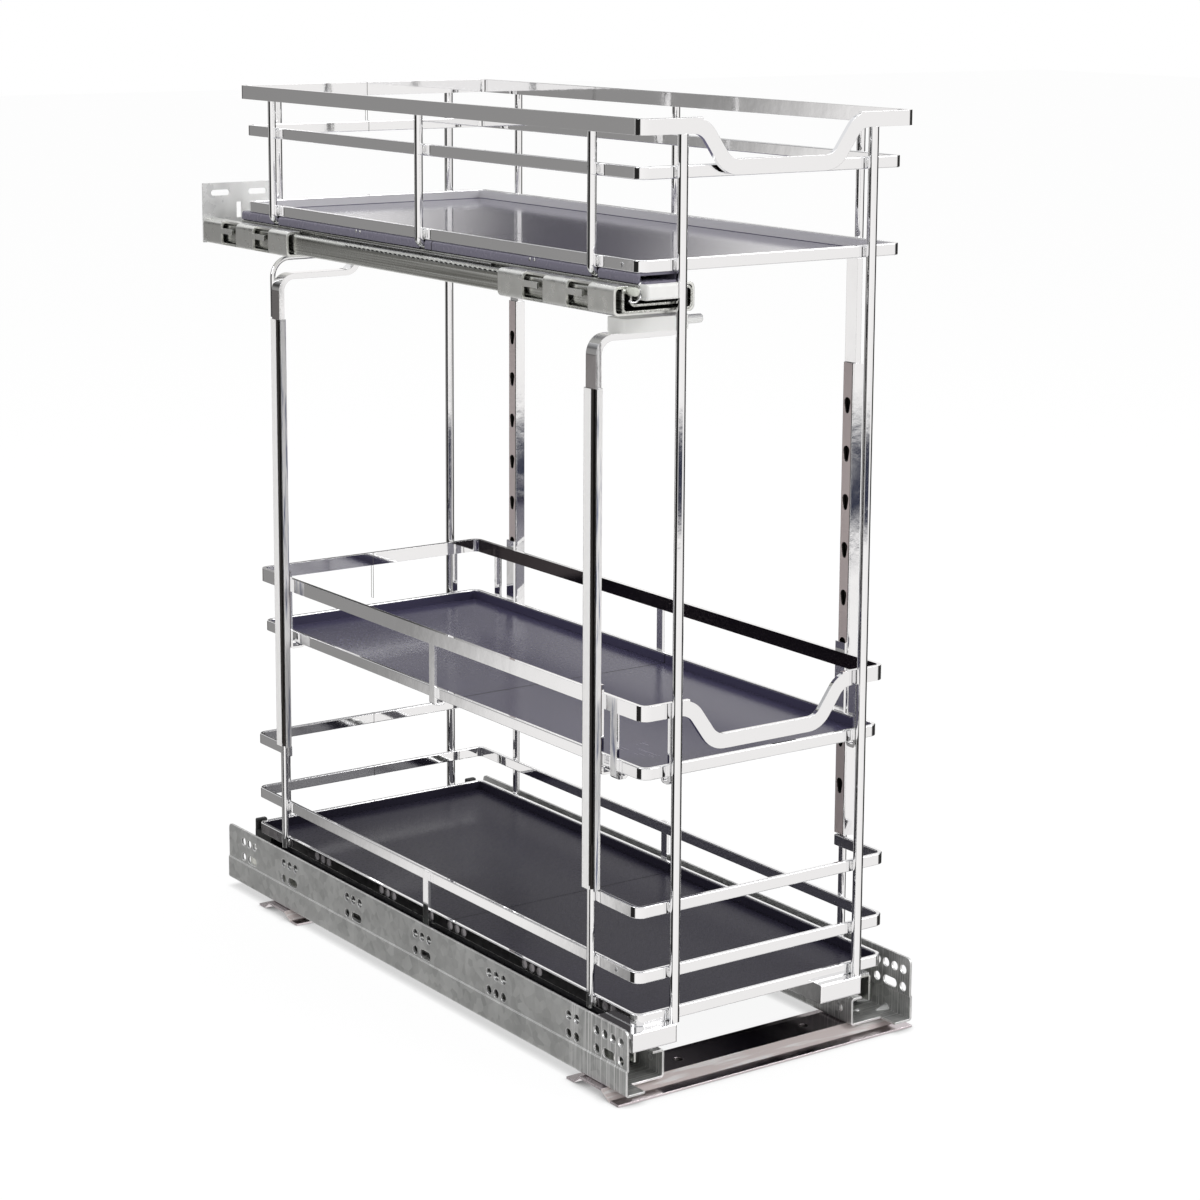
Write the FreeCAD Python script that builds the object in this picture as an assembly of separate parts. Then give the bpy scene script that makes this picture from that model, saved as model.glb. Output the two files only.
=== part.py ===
import FreeCAD, Part
import math
import os

from FreeCAD import Vector

# Base cabinet pull-out with three wire baskets on ball slides.
# Millimetres, +Z up, the front is at -Y, the origin is on the floor in the middle of the footprint.
# "Side" sizes are distances from the middle plane; "from front" sizes start at the rails' front ends.

# Cabinet rails of the two bottom slides
rail_length = 538.0
width_over_rails = 241.0
plate_height = 44.5
sheet = 1.5
plate_jog = 0.8
jog_height = 17.0
channel_width = 41.2
inner_wall_height = 19.5
lip_width = 9.0
front_tongue_width = 15.0
front_tongue_depth = 15.0
plate_corner_radius = 4.0
rail_bend = 1.6

# Screw holes in the side plates, on the 32 mm grid that cabinet makers drill
grid_pitch = 32.0
first_hole = 34.0
third_group = 4
group_stride = 3
last_hole_margin = 20.0
hole_step = 9.0
hole_diameter = 6.4
upper_row = 35.1
lower_row = 22.7
slot_run = 7.5

# Stiffening darts pressed into the bend between plate and floor
dart_places = (25.5, 46.5)
dart_radius = 3.5
dart_length = 8.5
dart_tip_radius = 0.8
notch_tip_radius = 0.3

# Cross members under the rails
foot_drop = 6.5
foot_flat_front = 10.0
foot_flat_rear = 8.0
cross_flat = 24.5
cross_slope_front = 9.0
cross_slope_rear = 7.0
cross_overhang = 3.5
cross_front_place = 22.4
cross_rear_margin = 96.0
cross_hole_spacing = 106.6
cross_hole_diameter = 6.5
cross_slots = ((-58.5, -35.5), (12.5, 54.5))
rivet_radius = 2.0
rivet_head_radius = 3.6
rivet_head_height = 1.2
wall_rivet_place = 28.0

# Ball slides: one running gap serves every ball row
ball_gap = 4.4
ball_clearance = 0.1
ball_pitch = 36.0
balls_per_row = 6
cage_sheet = 1.0
cage_height = 10.0
slide_floor_gap = 2.5
cage_floor_gap = 0.6
outer_cage_place = 190.0
inner_cage_place = 175.0

# Middle and drawer rails of the bottom slides
middle_rail_front = 42.0
middle_rail_shorter = 50.0
middle_rail_height = 13.0
drawer_rail_front = 30.0
drawer_rail_shorter = 44.0
drawer_rail_lift = 2.5
drawer_rail_top = 33.4

# Brackets that carry the basket frame on the drawer rails
bracket_width = 35.4
bracket_depth = 42.0
bracket_front = 4.0
bracket_wall = 1.5
bracket_left_past_post = 0.5
bracket_right_past_post = 2.0
tongue_depth = 16.0
catch_width = 31.0
catch_depth = 25.0
catch_hook_rise = 8.0
catch_hook_width = 9.0

# Flat bars of the baskets
bar_height = 8.0
bar_thickness = 3.0
rim_height = 10.0
bar_corner = 5.5
bar_edge = 0.7
basket_front = 11.7
basket_shorter = 31.0
tray_sheet = 1.2

# Bottom basket
bottom_side_gap = 16.2
bottom_tray_z = 46.4
bottom_middle_rise = 28.7
bottom_top_rise = 72.3
strap_width = 7.0
strap_thickness = 2.2

# Full height posts
post_radius = 3.4
post_inboard = 27.8

# Height standards with keyholes and their carrying bars; the channel widens outward from its web
standard_front_place = 60.0
standard_width = 16.1
standard_web = 10.8
standard_bend = 1.4
standard_lap = 1.8
standard_sheet = 1.2
standard_gap = 0.8
standard_length = 329.0
standard_cover = 10.0
carrier_thickness = 4.3
carrier_lower_width = 6.0
carrier_rounding = 2.0
carrier_upper_width = 11.3
carrier_overlap = 30.0
keyhole_pitch = 33.2
keyhole_middle_rise = 134.0
keyholes_below = 3
keyholes_above = 5
keyhole_height = 11.0
keyhole_head_radius = 3.2
keyhole_slot_radius = 2.0

# Middle basket
middle_inboard = 6.0
middle_front_gap = 2.8
middle_rear_gap = 3.0
middle_tray_rise = 162.4
middle_rim_rise = 39.2
side_strap_offsets = (-221.0, 0.0, 221.0)
hook_drop = 5.0
hook_reach = 7.0
hanger_width = 10.0
hanger_thickness = 1.7
hanger_rise = 6.0
pin_radius = 1.8
pin_head_radius = 2.9
pin_head_height = 1.2
pin_gap = 0.3
end_strap_width = 4.5
end_strap_past_post = 0.5

# Top basket
top_outboard = 1.7
top_rim_outboard = 4.2
top_rim_front = 5.3
top_rim_deeper = 8.5
top_tray_z = 533.3
top_middle_rise = 57.2
top_rim_rise = 84.7
top_wire_radius = 3.0
top_wire_bend = 4.5
top_wire_offsets = (-206.0, 0.0, 206.0)
top_wire_reach = 12.0

# Handle dip in the front of the two upper rims
dip_depth = 26.5
dip_half_width = 42.3
dip_run = 20.9
dip_bend = 16.0

# Top slide on the left side, its clamps and its rear bracket
slide_inboard = 14.3
slide_outer_width = 53.8
slide_outer_height = 14.9
slide_front = 12.5
slide_longer = 2.0
slide_middle_shorter = 14.0
slide_bend = 3.0
slide_lip = 3.4
slide_inner_front = 12.5
slide_inner_shorter = 28.0
mounting_plate_height = 6.2
mounting_plate_width = 30.0
nose_width = 26.6
nose_reach = 4.5
nose_lap = 20.0
clamp_sheet = 1.8
clamp_bend = 3.0
clamp_side_gap = 2.2
clamp_top_gap = 1.3
clamp_lip = 11.0
clamp_front_place = 16.0
clamp_past_slide = 4.5
clamp_length = 130.0
clamp_windows = (28.0, 78.0)
window_length = 23.5
window_tab_length = 17.0
window_tab_height = 4.0
rear_plate_rise = 26.5
rear_slot_pitch = 32.0
rear_slot_length = 16.0
rear_slot_width = 4.5
rear_slot_drop = 7.5
rear_tail_reach = 84.8
rear_tail_rise = 9.9
rear_tail_height = 18.8

# Arms that pass under the top slide
arm_under_tray = 44.8
arm_bend = 11.0
riser_outboard = 20.8
block_length = 68.0
block_past_riser = 18.0
block_depth = 20.0
block_height = 9.2
block_rounding = 2.5
peg_length = 16.5
peg_radius = 3.0
peg_rounding = 0.8
brace_radius = 2.0
brace_above_arm = 12.5
brace_bend = 14.0
bumper_depth = 8.0
post_clearance = 1.2
screw_radius = 2.0
screw_shares = (0.1, 0.36, 0.64, 0.9)

# Values worked out from the sizes above
half_rails = width_over_rails / 2.0
wall_side = half_rails - channel_width
cross_rear_place = rail_length - cross_rear_margin
middle_rail_length = rail_length - middle_rail_shorter
drawer_rail_length = rail_length - drawer_rail_shorter
basket_depth = rail_length - basket_shorter
slide_length = rail_length + slide_longer
slide_middle_length = slide_length - slide_middle_shorter
slide_inner_length = slide_length - slide_inner_shorter
clamp_rear_place = slide_front + slide_length + clamp_past_slide - clamp_length
overall_depth = clamp_rear_place + clamp_length + sheet
front = -overall_depth / 2.0
last_group = int((rail_length - first_hole - last_hole_margin) / grid_pitch)
group_steps = [0, 1] + list(range(third_group, last_group - 1, group_stride)) + [last_group]
bottom_side = half_rails - bottom_side_gap
middle_side = bottom_side - middle_inboard
top_side = bottom_side + top_outboard
top_rim_side = top_side + top_rim_outboard
top_rim_depth = basket_depth + top_rim_deeper
post_side = bottom_side - post_inboard
bracket_left_side = post_side + bracket_left_past_post
bracket_right_side = post_side + bracket_right_past_post
bottom_middle_z = bottom_tray_z + bottom_middle_rise
bottom_top_z = bottom_tray_z + bottom_top_rise
middle_tray_z = bottom_tray_z + middle_tray_rise
middle_rim_z = middle_tray_z + middle_rim_rise
top_middle_z = top_tray_z + top_middle_rise
top_rim_z = top_tray_z + top_rim_rise
standard_inner_side = bottom_side - standard_lap
standard_bottom = bottom_top_z + bar_height + standard_gap
standard_top = standard_bottom + standard_length
keyhole_middle = standard_bottom + keyhole_middle_rise
end_strap_side = post_side + end_strap_past_post
slide_middle_x = -(top_side - slide_inboard)
riser_x = slide_middle_x + slide_outer_width / 2.0 + clamp_side_gap + clamp_sheet + riser_outboard
arm_z = top_tray_z - arm_under_tray
brace_z = arm_z + brace_above_arm
beside_post = -post_side - post_radius - post_clearance
block_right = riser_x + block_past_riser
block_left = block_right - block_length
block_body_right = block_right - peg_length
rear_tail_low = top_tray_z - mounting_plate_height - rear_tail_rise
basket_y0 = front + basket_front
basket_y1 = basket_y0 + basket_depth
basket_mid_y = (basket_y0 + basket_y1) / 2.0
bracket_bottom = drawer_rail_top
bracket_top = bottom_tray_z
post_front_y = basket_y0 - post_radius
post_rear_y = basket_y1 + post_radius
standard_y = (front + standard_front_place, 2.0 * basket_mid_y - front - standard_front_place)
carrier_inner = bottom_side
carrier_outer = carrier_inner + carrier_thickness
standard_outer_side = carrier_outer + standard_sheet
middle_y0 = basket_y0 + middle_front_gap
middle_y1 = basket_y1 - middle_rear_gap
middle_rim_side = middle_side + strap_thickness
inner_top = top_tray_z - mounting_plate_height
clamp_top = inner_top - clamp_top_gap
clamp_bottom = clamp_top - slide_outer_height - 2.0 * clamp_sheet
ball_radius = ball_gap / 2.0 - ball_clearance

os.makedirs("parts", exist_ok=True)


def save(name, shapes):
    """Write one sub-part; several solids go in as one group."""
    group = shapes if isinstance(shapes, list) else [shapes]
    whole = group[0] if len(group) == 1 else Part.makeCompound(group)
    whole.exportStep("parts/" + name + ".step")
    volume = sum(solid.Volume for solid in whole.Solids)
    print(name, len(whole.Solids), "solids", round(volume, 1), "mm3", whole.isValid())


def box(x0, x1, y0, y1, z0, z1):
    """A block between two opposite corners."""
    return Part.makeBox(x1 - x0, y1 - y0, z1 - z0, Vector(x0, y0, z0))


def mirrored(shape):
    """The same piece for the other side of the middle plane."""
    return shape.mirror(Vector(0, 0, 0), Vector(1, 0, 0))


def placed(plane, u, v, w):
    """A point given in a drawing plane and its distance along that plane's normal."""
    if plane == "XY":
        return Vector(u, v, w)
    if plane == "XZ":
        return Vector(u, w, v)
    return Vector(w, u, v)


def direction(a, b):
    """Unit step from one drawing point to the next."""
    length = math.hypot(b[0] - a[0], b[1] - a[1])
    return ((b[0] - a[0]) / length, (b[1] - a[1]) / length)


def bent_corner(before, here, after, radius, offset):
    """Start, middle and end of a path's corner, moved sideways by an offset."""
    into = direction(before, here)
    out = direction(here, after)
    turn = math.atan2(into[0] * out[1] - into[1] * out[0], into[0] * out[0] + into[1] * out[1])
    if radius == 0 or abs(turn) < 1e-6:
        reach = offset / math.cos(turn / 2.0)
        nx = -(into[1] + out[1])
        ny = into[0] + out[0]
        size = math.hypot(nx, ny)
        spot = (here[0] + nx / size * reach, here[1] + ny / size * reach)
        return (spot, None, spot)
    side = 1.0 if turn > 0 else -1.0
    back = radius * math.tan(abs(turn) / 2.0)
    start = (here[0] - into[0] * back, here[1] - into[1] * back)
    end = (here[0] + out[0] * back, here[1] + out[1] * back)
    centre = (start[0] - into[1] * radius * side, start[1] + into[0] * radius * side)
    towards = direction(centre, here)
    bent = radius - side * offset
    middle = (centre[0] + towards[0] * bent, centre[1] + towards[1] * bent)
    start = (start[0] - into[1] * offset, start[1] + into[0] * offset)
    end = (end[0] - out[1] * offset, end[1] + out[0] * offset)
    return (start, middle, end)


def offset_corners(points, radius, offset, closed):
    """Every corner of a bent path, moved sideways by an offset."""
    corners = []
    last = len(points) - 1
    for index, here in enumerate(points):
        if not closed and index in (0, last):
            step = direction(points[0], points[1]) if index == 0 else direction(points[-2], points[-1])
            spot = (here[0] - step[1] * offset, here[1] + step[0] * offset)
            corners.append((spot, None, spot))
            continue
        before = points[index - 1]
        after = points[(index + 1) % len(points)]
        corners.append(bent_corner(before, here, after, radius, offset))
    return corners


def path_edges(plane, corners, closed, level):
    """Lines and arcs through a list of corners."""
    edges = []
    for index, (start, middle, end) in enumerate(corners):
        if middle is not None:
            through = [placed(plane, *spot, level) for spot in (start, middle, end)]
            arc = Part.Arc(*through)
            edges.append(arc.toShape())
        if index == len(corners) - 1 and not closed:
            break
        following = corners[(index + 1) % len(corners)][0]
        edges.append(Part.makeLine(placed(plane, *end, level), placed(plane, *following, level)))
    return edges


def along(plane, length):
    """The extrusion of a drawing plane."""
    return placed(plane, 0.0, 0.0, length)


def soften(shape, plane, low, high, radius):
    """Round the long edges of an extruded bar."""
    pick = {"XY": 2, "XZ": 1, "YZ": 0}[plane]
    chosen = []
    for edge in shape.Edges:
        levels = [tuple(vertex.Point)[pick] for vertex in edge.Vertexes]
        flat = max(levels) - min(levels) < 1e-6
        if flat and min(abs(levels[0] - low), abs(levels[0] - high)) < 1e-6:
            chosen.append(edge)
    return shape.makeFillet(radius, chosen)


def strip(plane, points, thickness, radius, low, high, closed=False, edge=0.0):
    """A sheet or flat bar of one thickness that follows a bent line, extruded from low to high."""
    left = path_edges(plane, offset_corners(points, radius, thickness / 2.0, closed), closed, low)
    right = path_edges(plane, offset_corners(points, radius, -thickness / 2.0, closed), closed, low)
    push = along(plane, high - low)
    if closed:
        one = Part.Face(Part.Wire(Part.__sortEdges__(left))).extrude(push)
        other = Part.Face(Part.Wire(Part.__sortEdges__(right))).extrude(push)
        shape = one.cut(other) if one.Volume > other.Volume else other.cut(one)
    else:
        first = Part.makeLine(left[0].Vertexes[0].Point, right[0].Vertexes[0].Point)
        last = Part.makeLine(left[-1].Vertexes[-1].Point, right[-1].Vertexes[-1].Point)
        outline = Part.__sortEdges__(left + right + [first, last])
        shape = Part.Face(Part.Wire(outline)).extrude(push)
    return soften(shape, plane, low, high, edge) if edge else shape


def rod(points, radius, bend):
    """A round wire along straight runs joined by arcs; the points lie in one XZ plane."""
    y = points[0][1]
    flat = [(x, z) for x, _, z in points]
    edges = path_edges("XZ", offset_corners(flat, bend, 0.0, False), False, y)
    start = Vector(*points[0])
    heading = Vector(*points[1]) - start
    ring = Part.Wire([Part.Circle(start, heading, radius).toShape()])
    return Part.Wire(edges).makePipeShell([ring], True, False)


def loop_points(side, y0, y1, thickness):
    """Middle line of a rectangular hoop given by its outer faces."""
    half = thickness / 2.0
    reach = side - half
    low = y0 + half
    high = y1 - half
    return [(-reach, low), (reach, low), (reach, high), (-reach, high)]


def hoop(side, y0, y1, z, height):
    """A closed flat-bar hoop standing on edge."""
    points = loop_points(side, y0, y1, bar_thickness)
    return strip("XY", points, bar_thickness, bar_corner, z, z + height, True, bar_edge)


def dipped_hoop(side, y0, y1, z, height):
    """A hoop whose front bar dips in the middle to make a handle."""
    outline = loop_points(side, y0, y1, bar_thickness)
    ring = strip("XY", outline, bar_thickness, bar_corner, z, z + height, True)
    hump = dip_half_width + dip_run
    ring = ring.cut(box(-hump, hump, y0 - 1.0, y0 + bar_thickness + 1.0, z - 1.0, z + height + 1.0))
    middle = z + height / 2.0
    low = middle - dip_depth
    points = [(-hump - dip_bend, middle), (-hump + 1.0, middle), (-dip_half_width - 1.0, low)]
    points += [(dip_half_width + 1.0, low), (hump - 1.0, middle), (hump + dip_bend, middle)]
    dip = strip("XZ", points, height, dip_bend, y0, y0 + bar_thickness)
    return ring.fuse(dip).removeSplitter()


def tray(side, y0, y1, z):
    """A shallow pan that lies inside its hoop."""
    inner = bar_thickness
    outline = loop_points(side - inner, y0 + inner, y1 - inner, 0.0)
    corner = bar_corner - bar_thickness / 2.0
    edges = path_edges("XY", offset_corners(outline, corner, 0.0, True), True, z)
    full = Part.Face(Part.Wire(Part.__sortEdges__(edges))).extrude(Vector(0, 0, bar_height - bar_edge))
    cut_line = loop_points(side - inner - tray_sheet, y0 + inner + tray_sheet, y1 - inner - tray_sheet, 0.0)
    edges = path_edges("XY", offset_corners(cut_line, corner - tray_sheet, 0.0, True), True, z + tray_sheet)
    hollow = Part.Face(Part.Wire(Part.__sortEdges__(edges))).extrude(Vector(0, 0, bar_height))
    return full.cut(hollow)


def cabinet_rail():
    """Left rail: drilled side plate, floor, inner wall and lip folded from one sheet."""
    half = sheet / 2.0
    outer = -half_rails + half
    inner = -wall_side - half
    floor = foot_drop + half
    top = foot_drop + plate_height
    line = [
        (outer + plate_jog, top),
        (outer + plate_jog, foot_drop + jog_height + plate_jog),
        (outer, foot_drop + jog_height),
        (outer, floor),
        (inner, floor),
        (inner, foot_drop + inner_wall_height - half),
        (inner - lip_width + half, foot_drop + inner_wall_height - half),
    ]
    folds = offset_corners(line, rail_bend, half, False)
    other = offset_corners(line, rail_bend, -half, False)
    for index in (1, 2):
        folds[index] = bent_corner(line[index - 1], line[index], line[index + 1], 0, half)
        other[index] = bent_corner(line[index - 1], line[index], line[index + 1], 0, -half)
    left = path_edges("XZ", folds, False, front)
    right = path_edges("XZ", other, False, front)
    ends = [Part.makeLine(left[0].Vertexes[0].Point, right[0].Vertexes[0].Point)]
    ends.append(Part.makeLine(left[-1].Vertexes[-1].Point, right[-1].Vertexes[-1].Point))
    outline = Part.Wire(Part.__sortEdges__(left + right + ends))
    rail = Part.Face(outline).extrude(Vector(0, rail_length, 0))
    tongue_side = half_rails - front_tongue_width
    rail = rail.cut(box(-tongue_side, 0.0, front - 1.0, front + front_tongue_depth, 0.0, top))
    rail = round_plate_corners(rail, outer, top)
    rail = press_darts(rail)
    for cutter in plate_holes():
        rail = rail.cut(cutter)
    for x, y in rivet_places():
        rail = rail.cut(Part.makeCylinder(rivet_radius, sheet * 3.0, Vector(x, y, foot_drop - sheet)))
    wall_hole_z = foot_drop + inner_wall_height / 2.0
    wall_hole = Vector(-wall_side - 2.0 * sheet, front + wall_rivet_place, wall_hole_z)
    return rail.cut(Part.makeCylinder(rivet_radius, sheet * 4.0, wall_hole, Vector(1, 0, 0)))


def round_plate_corners(rail, outer, top):
    """Round the two upper ends of the side plate."""
    r = plate_corner_radius
    for y, step in ((front, 1.0), (front + rail_length, -1.0)):
        low_y = min(y, y + step * r)
        block = box(outer - 3.0, outer + 3.0, low_y, low_y + r, top - r, top)
        centre = Vector(outer - 4.0, y + step * r, top - r)
        rail = rail.cut(block.cut(Part.makeCylinder(r, 8.0, centre, Vector(1, 0, 0))))
    return rail


def press_darts(rail):
    """Add the half-cone darts that stiffen the fold at the front."""
    plate_face = -half_rails + sheet
    for place in dart_places:
        y = front + place
        low = foot_drop
        base = Vector(plate_face, y, low + sheet)
        tip = Part.makeCone(dart_radius, dart_tip_radius, dart_length, base, Vector(1, 0, 0))
        start = low + sheet / 2.0
        above = box(plate_face, 0.0, y - dart_radius, y + dart_radius, start, low + 2.0 * dart_radius)
        shell = tip.common(above)
        rail = rail.fuse(shell)
        notch_start = Vector(-half_rails - 1.0, y, low)
        across = Vector(1, 0, 0)
        notch_length = dart_length - sheet
        notch = Part.makeCone(dart_radius - sheet, notch_tip_radius, notch_length, notch_start, across)
        rail = rail.cut(notch)
    return rail.removeSplitter()


def plate_holes():
    """Round holes and short slots in the left side plate."""
    cutters = []
    radius = hole_diameter / 2.0
    start = -half_rails - 2.0
    for step in group_steps:
        place = first_hole + step * grid_pitch
        uppers = {0: 4, 1: 2}.get(step, 3)
        for count in range(uppers):
            y = front + place - count * hole_step
            cutters.append(hole_in_plate(start, y, upper_row, radius))
        cutters.append(hole_in_plate(start, front + place, lower_row, radius))
        if step == 1:
            cutters.append(hole_in_plate(start, front + place - hole_step, lower_row, radius))
        elif step == 4:
            cutters.append(hole_in_plate(start, front + place - hole_step, lower_row, radius))
            cutters.append(hole_in_plate(start, front + place - 2 * hole_step, lower_row, radius))
        else:
            middle = place - 1.5 * hole_step
            cutters.append(slot_in_plate(start, front + middle, lower_row, radius))
        if step == 0:
            cutters.append(hole_in_plate(start, front + place - 3 * hole_step, lower_row, radius))
    return cutters


def hole_in_plate(start, y, row, radius):
    """A cutter through the side plate."""
    return Part.makeCylinder(radius, 4.0 * sheet, Vector(start, y, foot_drop + row), Vector(1, 0, 0))


def slot_in_plate(start, y, row, radius):
    """A slotted cutter through the side plate."""
    half = slot_run / 2.0
    one = hole_in_plate(start, y - half, row, radius)
    other = hole_in_plate(start, y + half, row, radius)
    z = foot_drop + row
    return one.fuse([other, box(start, start + 4.0 * sheet, y - half, y + half, z - radius, z + radius)])


def rivet_places():
    """Where rivets join the left rail's floor to the cross members."""
    x = -(half_rails + wall_side) / 2.0
    middle = cross_flat / 2.0
    return [(x, front + cross_front_place + middle), (x, front + cross_rear_place + middle)]


def cross_member(place):
    """A pressed strip under both rails, with two feet and a raised middle."""
    half = sheet / 2.0
    y = front + place
    top = foot_drop - half
    line = [
        (y - cross_slope_front - foot_flat_front, half),
        (y - cross_slope_front, half),
        (y, top),
        (y + cross_flat, top),
        (y + cross_flat + cross_slope_rear, half),
        (y + cross_flat + cross_slope_rear + foot_flat_rear, half),
    ]
    reach = half_rails + cross_overhang
    bar = strip("YZ", line, sheet, 0, -reach, reach)
    for side in (-1.0, 1.0):
        spot = Vector(side * cross_hole_spacing / 2.0, y + cross_flat / 2.0, 0.0)
        bar = bar.cut(Part.makeCylinder(cross_hole_diameter / 2.0, foot_drop + 1.0, spot))
        for x, rivet_y in rivet_places():
            if abs(rivet_y - y) < cross_flat:
                foot = Vector(side * x, rivet_y, 0.0)
                bar = bar.cut(Part.makeCylinder(rivet_radius, foot_drop + 1.0, foot))
    for x0, x1 in cross_slots:
        slope = y + cross_flat
        bar = bar.cut(box(x0, x1, slope + 1.5, slope + cross_slope_rear - 1.5, -1.0, foot_drop + 1.0))
    return bar


def rail_rivets():
    """Rivets through the rails' floors and the one in each inner wall."""
    rivets = []
    for x, y in rivet_places():
        for side in (-1.0, 1.0):
            shank = Part.makeCylinder(rivet_radius, 2.0 * sheet, Vector(side * x, y, foot_drop - sheet))
            base = Vector(side * x, y, foot_drop + sheet)
            head = Part.makeCone(rivet_head_radius, rivet_radius, rivet_head_height, base)
            under = Vector(side * x, y, foot_drop - sheet - rivet_head_height)
            foot = Part.makeCylinder(rivet_head_radius, rivet_head_height, under)
            rivets.append(shank.fuse([head, foot]))
    z = foot_drop + inner_wall_height / 2.0
    for side in (-1.0, 1.0):
        out = Vector(-side, 0, 0)
        base = Vector(side * wall_side, front + wall_rivet_place, z)
        head = Part.makeCone(rivet_head_radius, rivet_radius, rivet_head_height, base, out)
        shank = Part.makeCylinder(rivet_radius, sheet, base, Vector(side, 0, 0))
        rivets.append(head.fuse(shank))
    return rivets


def ball_cage(x0, x1, z, y, rows_z):
    """A U-shaped retainer with a row of balls in each upright wall."""
    half = cage_sheet / 2.0
    walls = (x0 + ball_gap / 2.0, x1 - ball_gap / 2.0)
    length = balls_per_row * ball_pitch
    top = z + cage_height
    line = [(walls[0], top), (walls[0], z + half), (walls[1], z + half), (walls[1], top)]
    frame = strip("XZ", line, cage_sheet, 0, y, y + length)
    balls = []
    for x in walls:
        for count in range(balls_per_row):
            spot = Vector(x, y + (count + 0.5) * ball_pitch, rows_z)
            start = spot - Vector(2, 0, 0)
            pocket = Part.makeCylinder(ball_radius + ball_clearance, 4.0, start, Vector(1, 0, 0))
            frame = frame.cut(pocket)
            balls.append(Part.makeSphere(ball_radius, spot))
    return [frame] + balls


def bottom_slide():
    """Left middle rail, drawer rail and both ball cages of a bottom slide."""
    outer_x0 = -half_rails + sheet
    outer_x1 = -wall_side - sheet
    middle_x0 = outer_x0 + ball_gap
    middle_x1 = outer_x1 - ball_gap
    half = sheet / 2.0
    low = foot_drop + sheet + slide_floor_gap
    high = low + middle_rail_height
    line = [(middle_x0 + half, high), (middle_x0 + half, low + half)]
    line += [(middle_x1 - half, low + half), (middle_x1 - half, high)]
    y0 = front + middle_rail_front
    middle_rail = strip("XZ", line, sheet, rail_bend, y0, y0 + middle_rail_length)
    drawer_x0 = middle_x0 + sheet + ball_gap
    drawer_x1 = middle_x1 - sheet - ball_gap
    drawer_low = low + sheet + drawer_rail_lift
    line = [(drawer_x0 + half, drawer_low), (drawer_x0 + half, drawer_rail_top - half)]
    line += [(drawer_x1 - half, drawer_rail_top - half), (drawer_x1 - half, drawer_low)]
    y0 = front + drawer_rail_front
    drawer_rail = strip("XZ", line, sheet, rail_bend, y0, y0 + drawer_rail_length)
    ball_z = low + middle_rail_height * 0.6
    outer_floor = foot_drop + sheet + cage_floor_gap
    inner_floor = low + sheet + cage_floor_gap
    outer = ball_cage(outer_x0, outer_x1, outer_floor, front + outer_cage_place, ball_z)
    inner = ball_cage(middle_x0 + sheet, middle_x1 - sheet, inner_floor, front + inner_cage_place, ball_z)
    return middle_rail, drawer_rail, outer, inner


def top_slide():
    """Outer, middle and inner members of the top slide and both ball cages."""
    half = sheet / 2.0
    x = slide_middle_x
    low = clamp_bottom + clamp_sheet
    high = low + slide_outer_height
    reach = slide_outer_width / 2.0 - half
    lip = reach - half - slide_lip
    line = [(x - lip, high - half), (x - reach, high - half), (x - reach, low + half)]
    line += [(x + reach, low + half), (x + reach, high - half), (x + lip, high - half)]
    y0 = front + slide_front
    outer = strip("XZ", line, sheet, slide_bend, y0, y0 + slide_length)
    wall = slide_outer_width / 2.0 - sheet
    reach = wall - ball_gap - half
    floor = low + sheet + slide_floor_gap
    top = high - sheet
    line = [(x - reach, top), (x - reach, floor + half), (x + reach, floor + half), (x + reach, top)]
    middle = strip("XZ", line, sheet, slide_bend, y0, y0 + slide_middle_length)
    inner_wall = wall - ball_gap - sheet
    reach = inner_wall - ball_gap - half
    rise = floor + sheet + drawer_rail_lift
    crown = inner_top - half
    line = [(x - reach, rise), (x - reach, crown), (x + reach, crown), (x + reach, rise)]
    y1 = front + slide_inner_front
    inner = strip("XZ", line, sheet, rail_bend, y1, y1 + slide_inner_length)
    for spot in screw_spots():
        inner = inner.cut(Part.makeCylinder(screw_radius, 8.0, spot - Vector(0, 0, 4.0)))
    ball_z = low + slide_outer_height * 0.7
    outer_floor = low + sheet + cage_floor_gap
    outer_cage = ball_cage(x - wall, x + wall, outer_floor, front + outer_cage_place, ball_z)
    cage_floor = floor + sheet + cage_floor_gap
    inner_cage = ball_cage(x - inner_wall, x + inner_wall, cage_floor, front + inner_cage_place, ball_z)
    return outer, middle, inner, outer_cage, inner_cage


def slide_clamp(place, windows):
    """A sheet clamp round the fixed member, open on top, with windows in its outer wall."""
    half = clamp_sheet / 2.0
    reach = slide_outer_width / 2.0 + clamp_side_gap + half
    x = slide_middle_x
    lip = reach + half - clamp_lip
    low = clamp_bottom + half
    high = clamp_top - half
    left = [(x - lip, high), (x - reach, high), (x - reach, low)]
    line = left + [(2.0 * x - u, v) for u, v in reversed(left)]
    y = front + place
    clamp = strip("XZ", line, clamp_sheet, clamp_bend, y, y + clamp_length)
    outer = x - reach - half
    for start in windows:
        y0 = y + start
        window = box(outer - 1.0, outer + 4.0, y0, y0 + window_length, clamp_bottom + 1.0, clamp_top + 1.0)
        middle = (clamp_bottom + clamp_top) / 2.0
        tab_start = y0 + window_length - window_tab_length
        tab_end = y0 + window_length
        tab = box(outer - 2.0, outer + 5.0, tab_start, tab_end, middle, middle + window_tab_height)
        clamp = clamp.cut(window.cut(tab))
    return clamp


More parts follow.
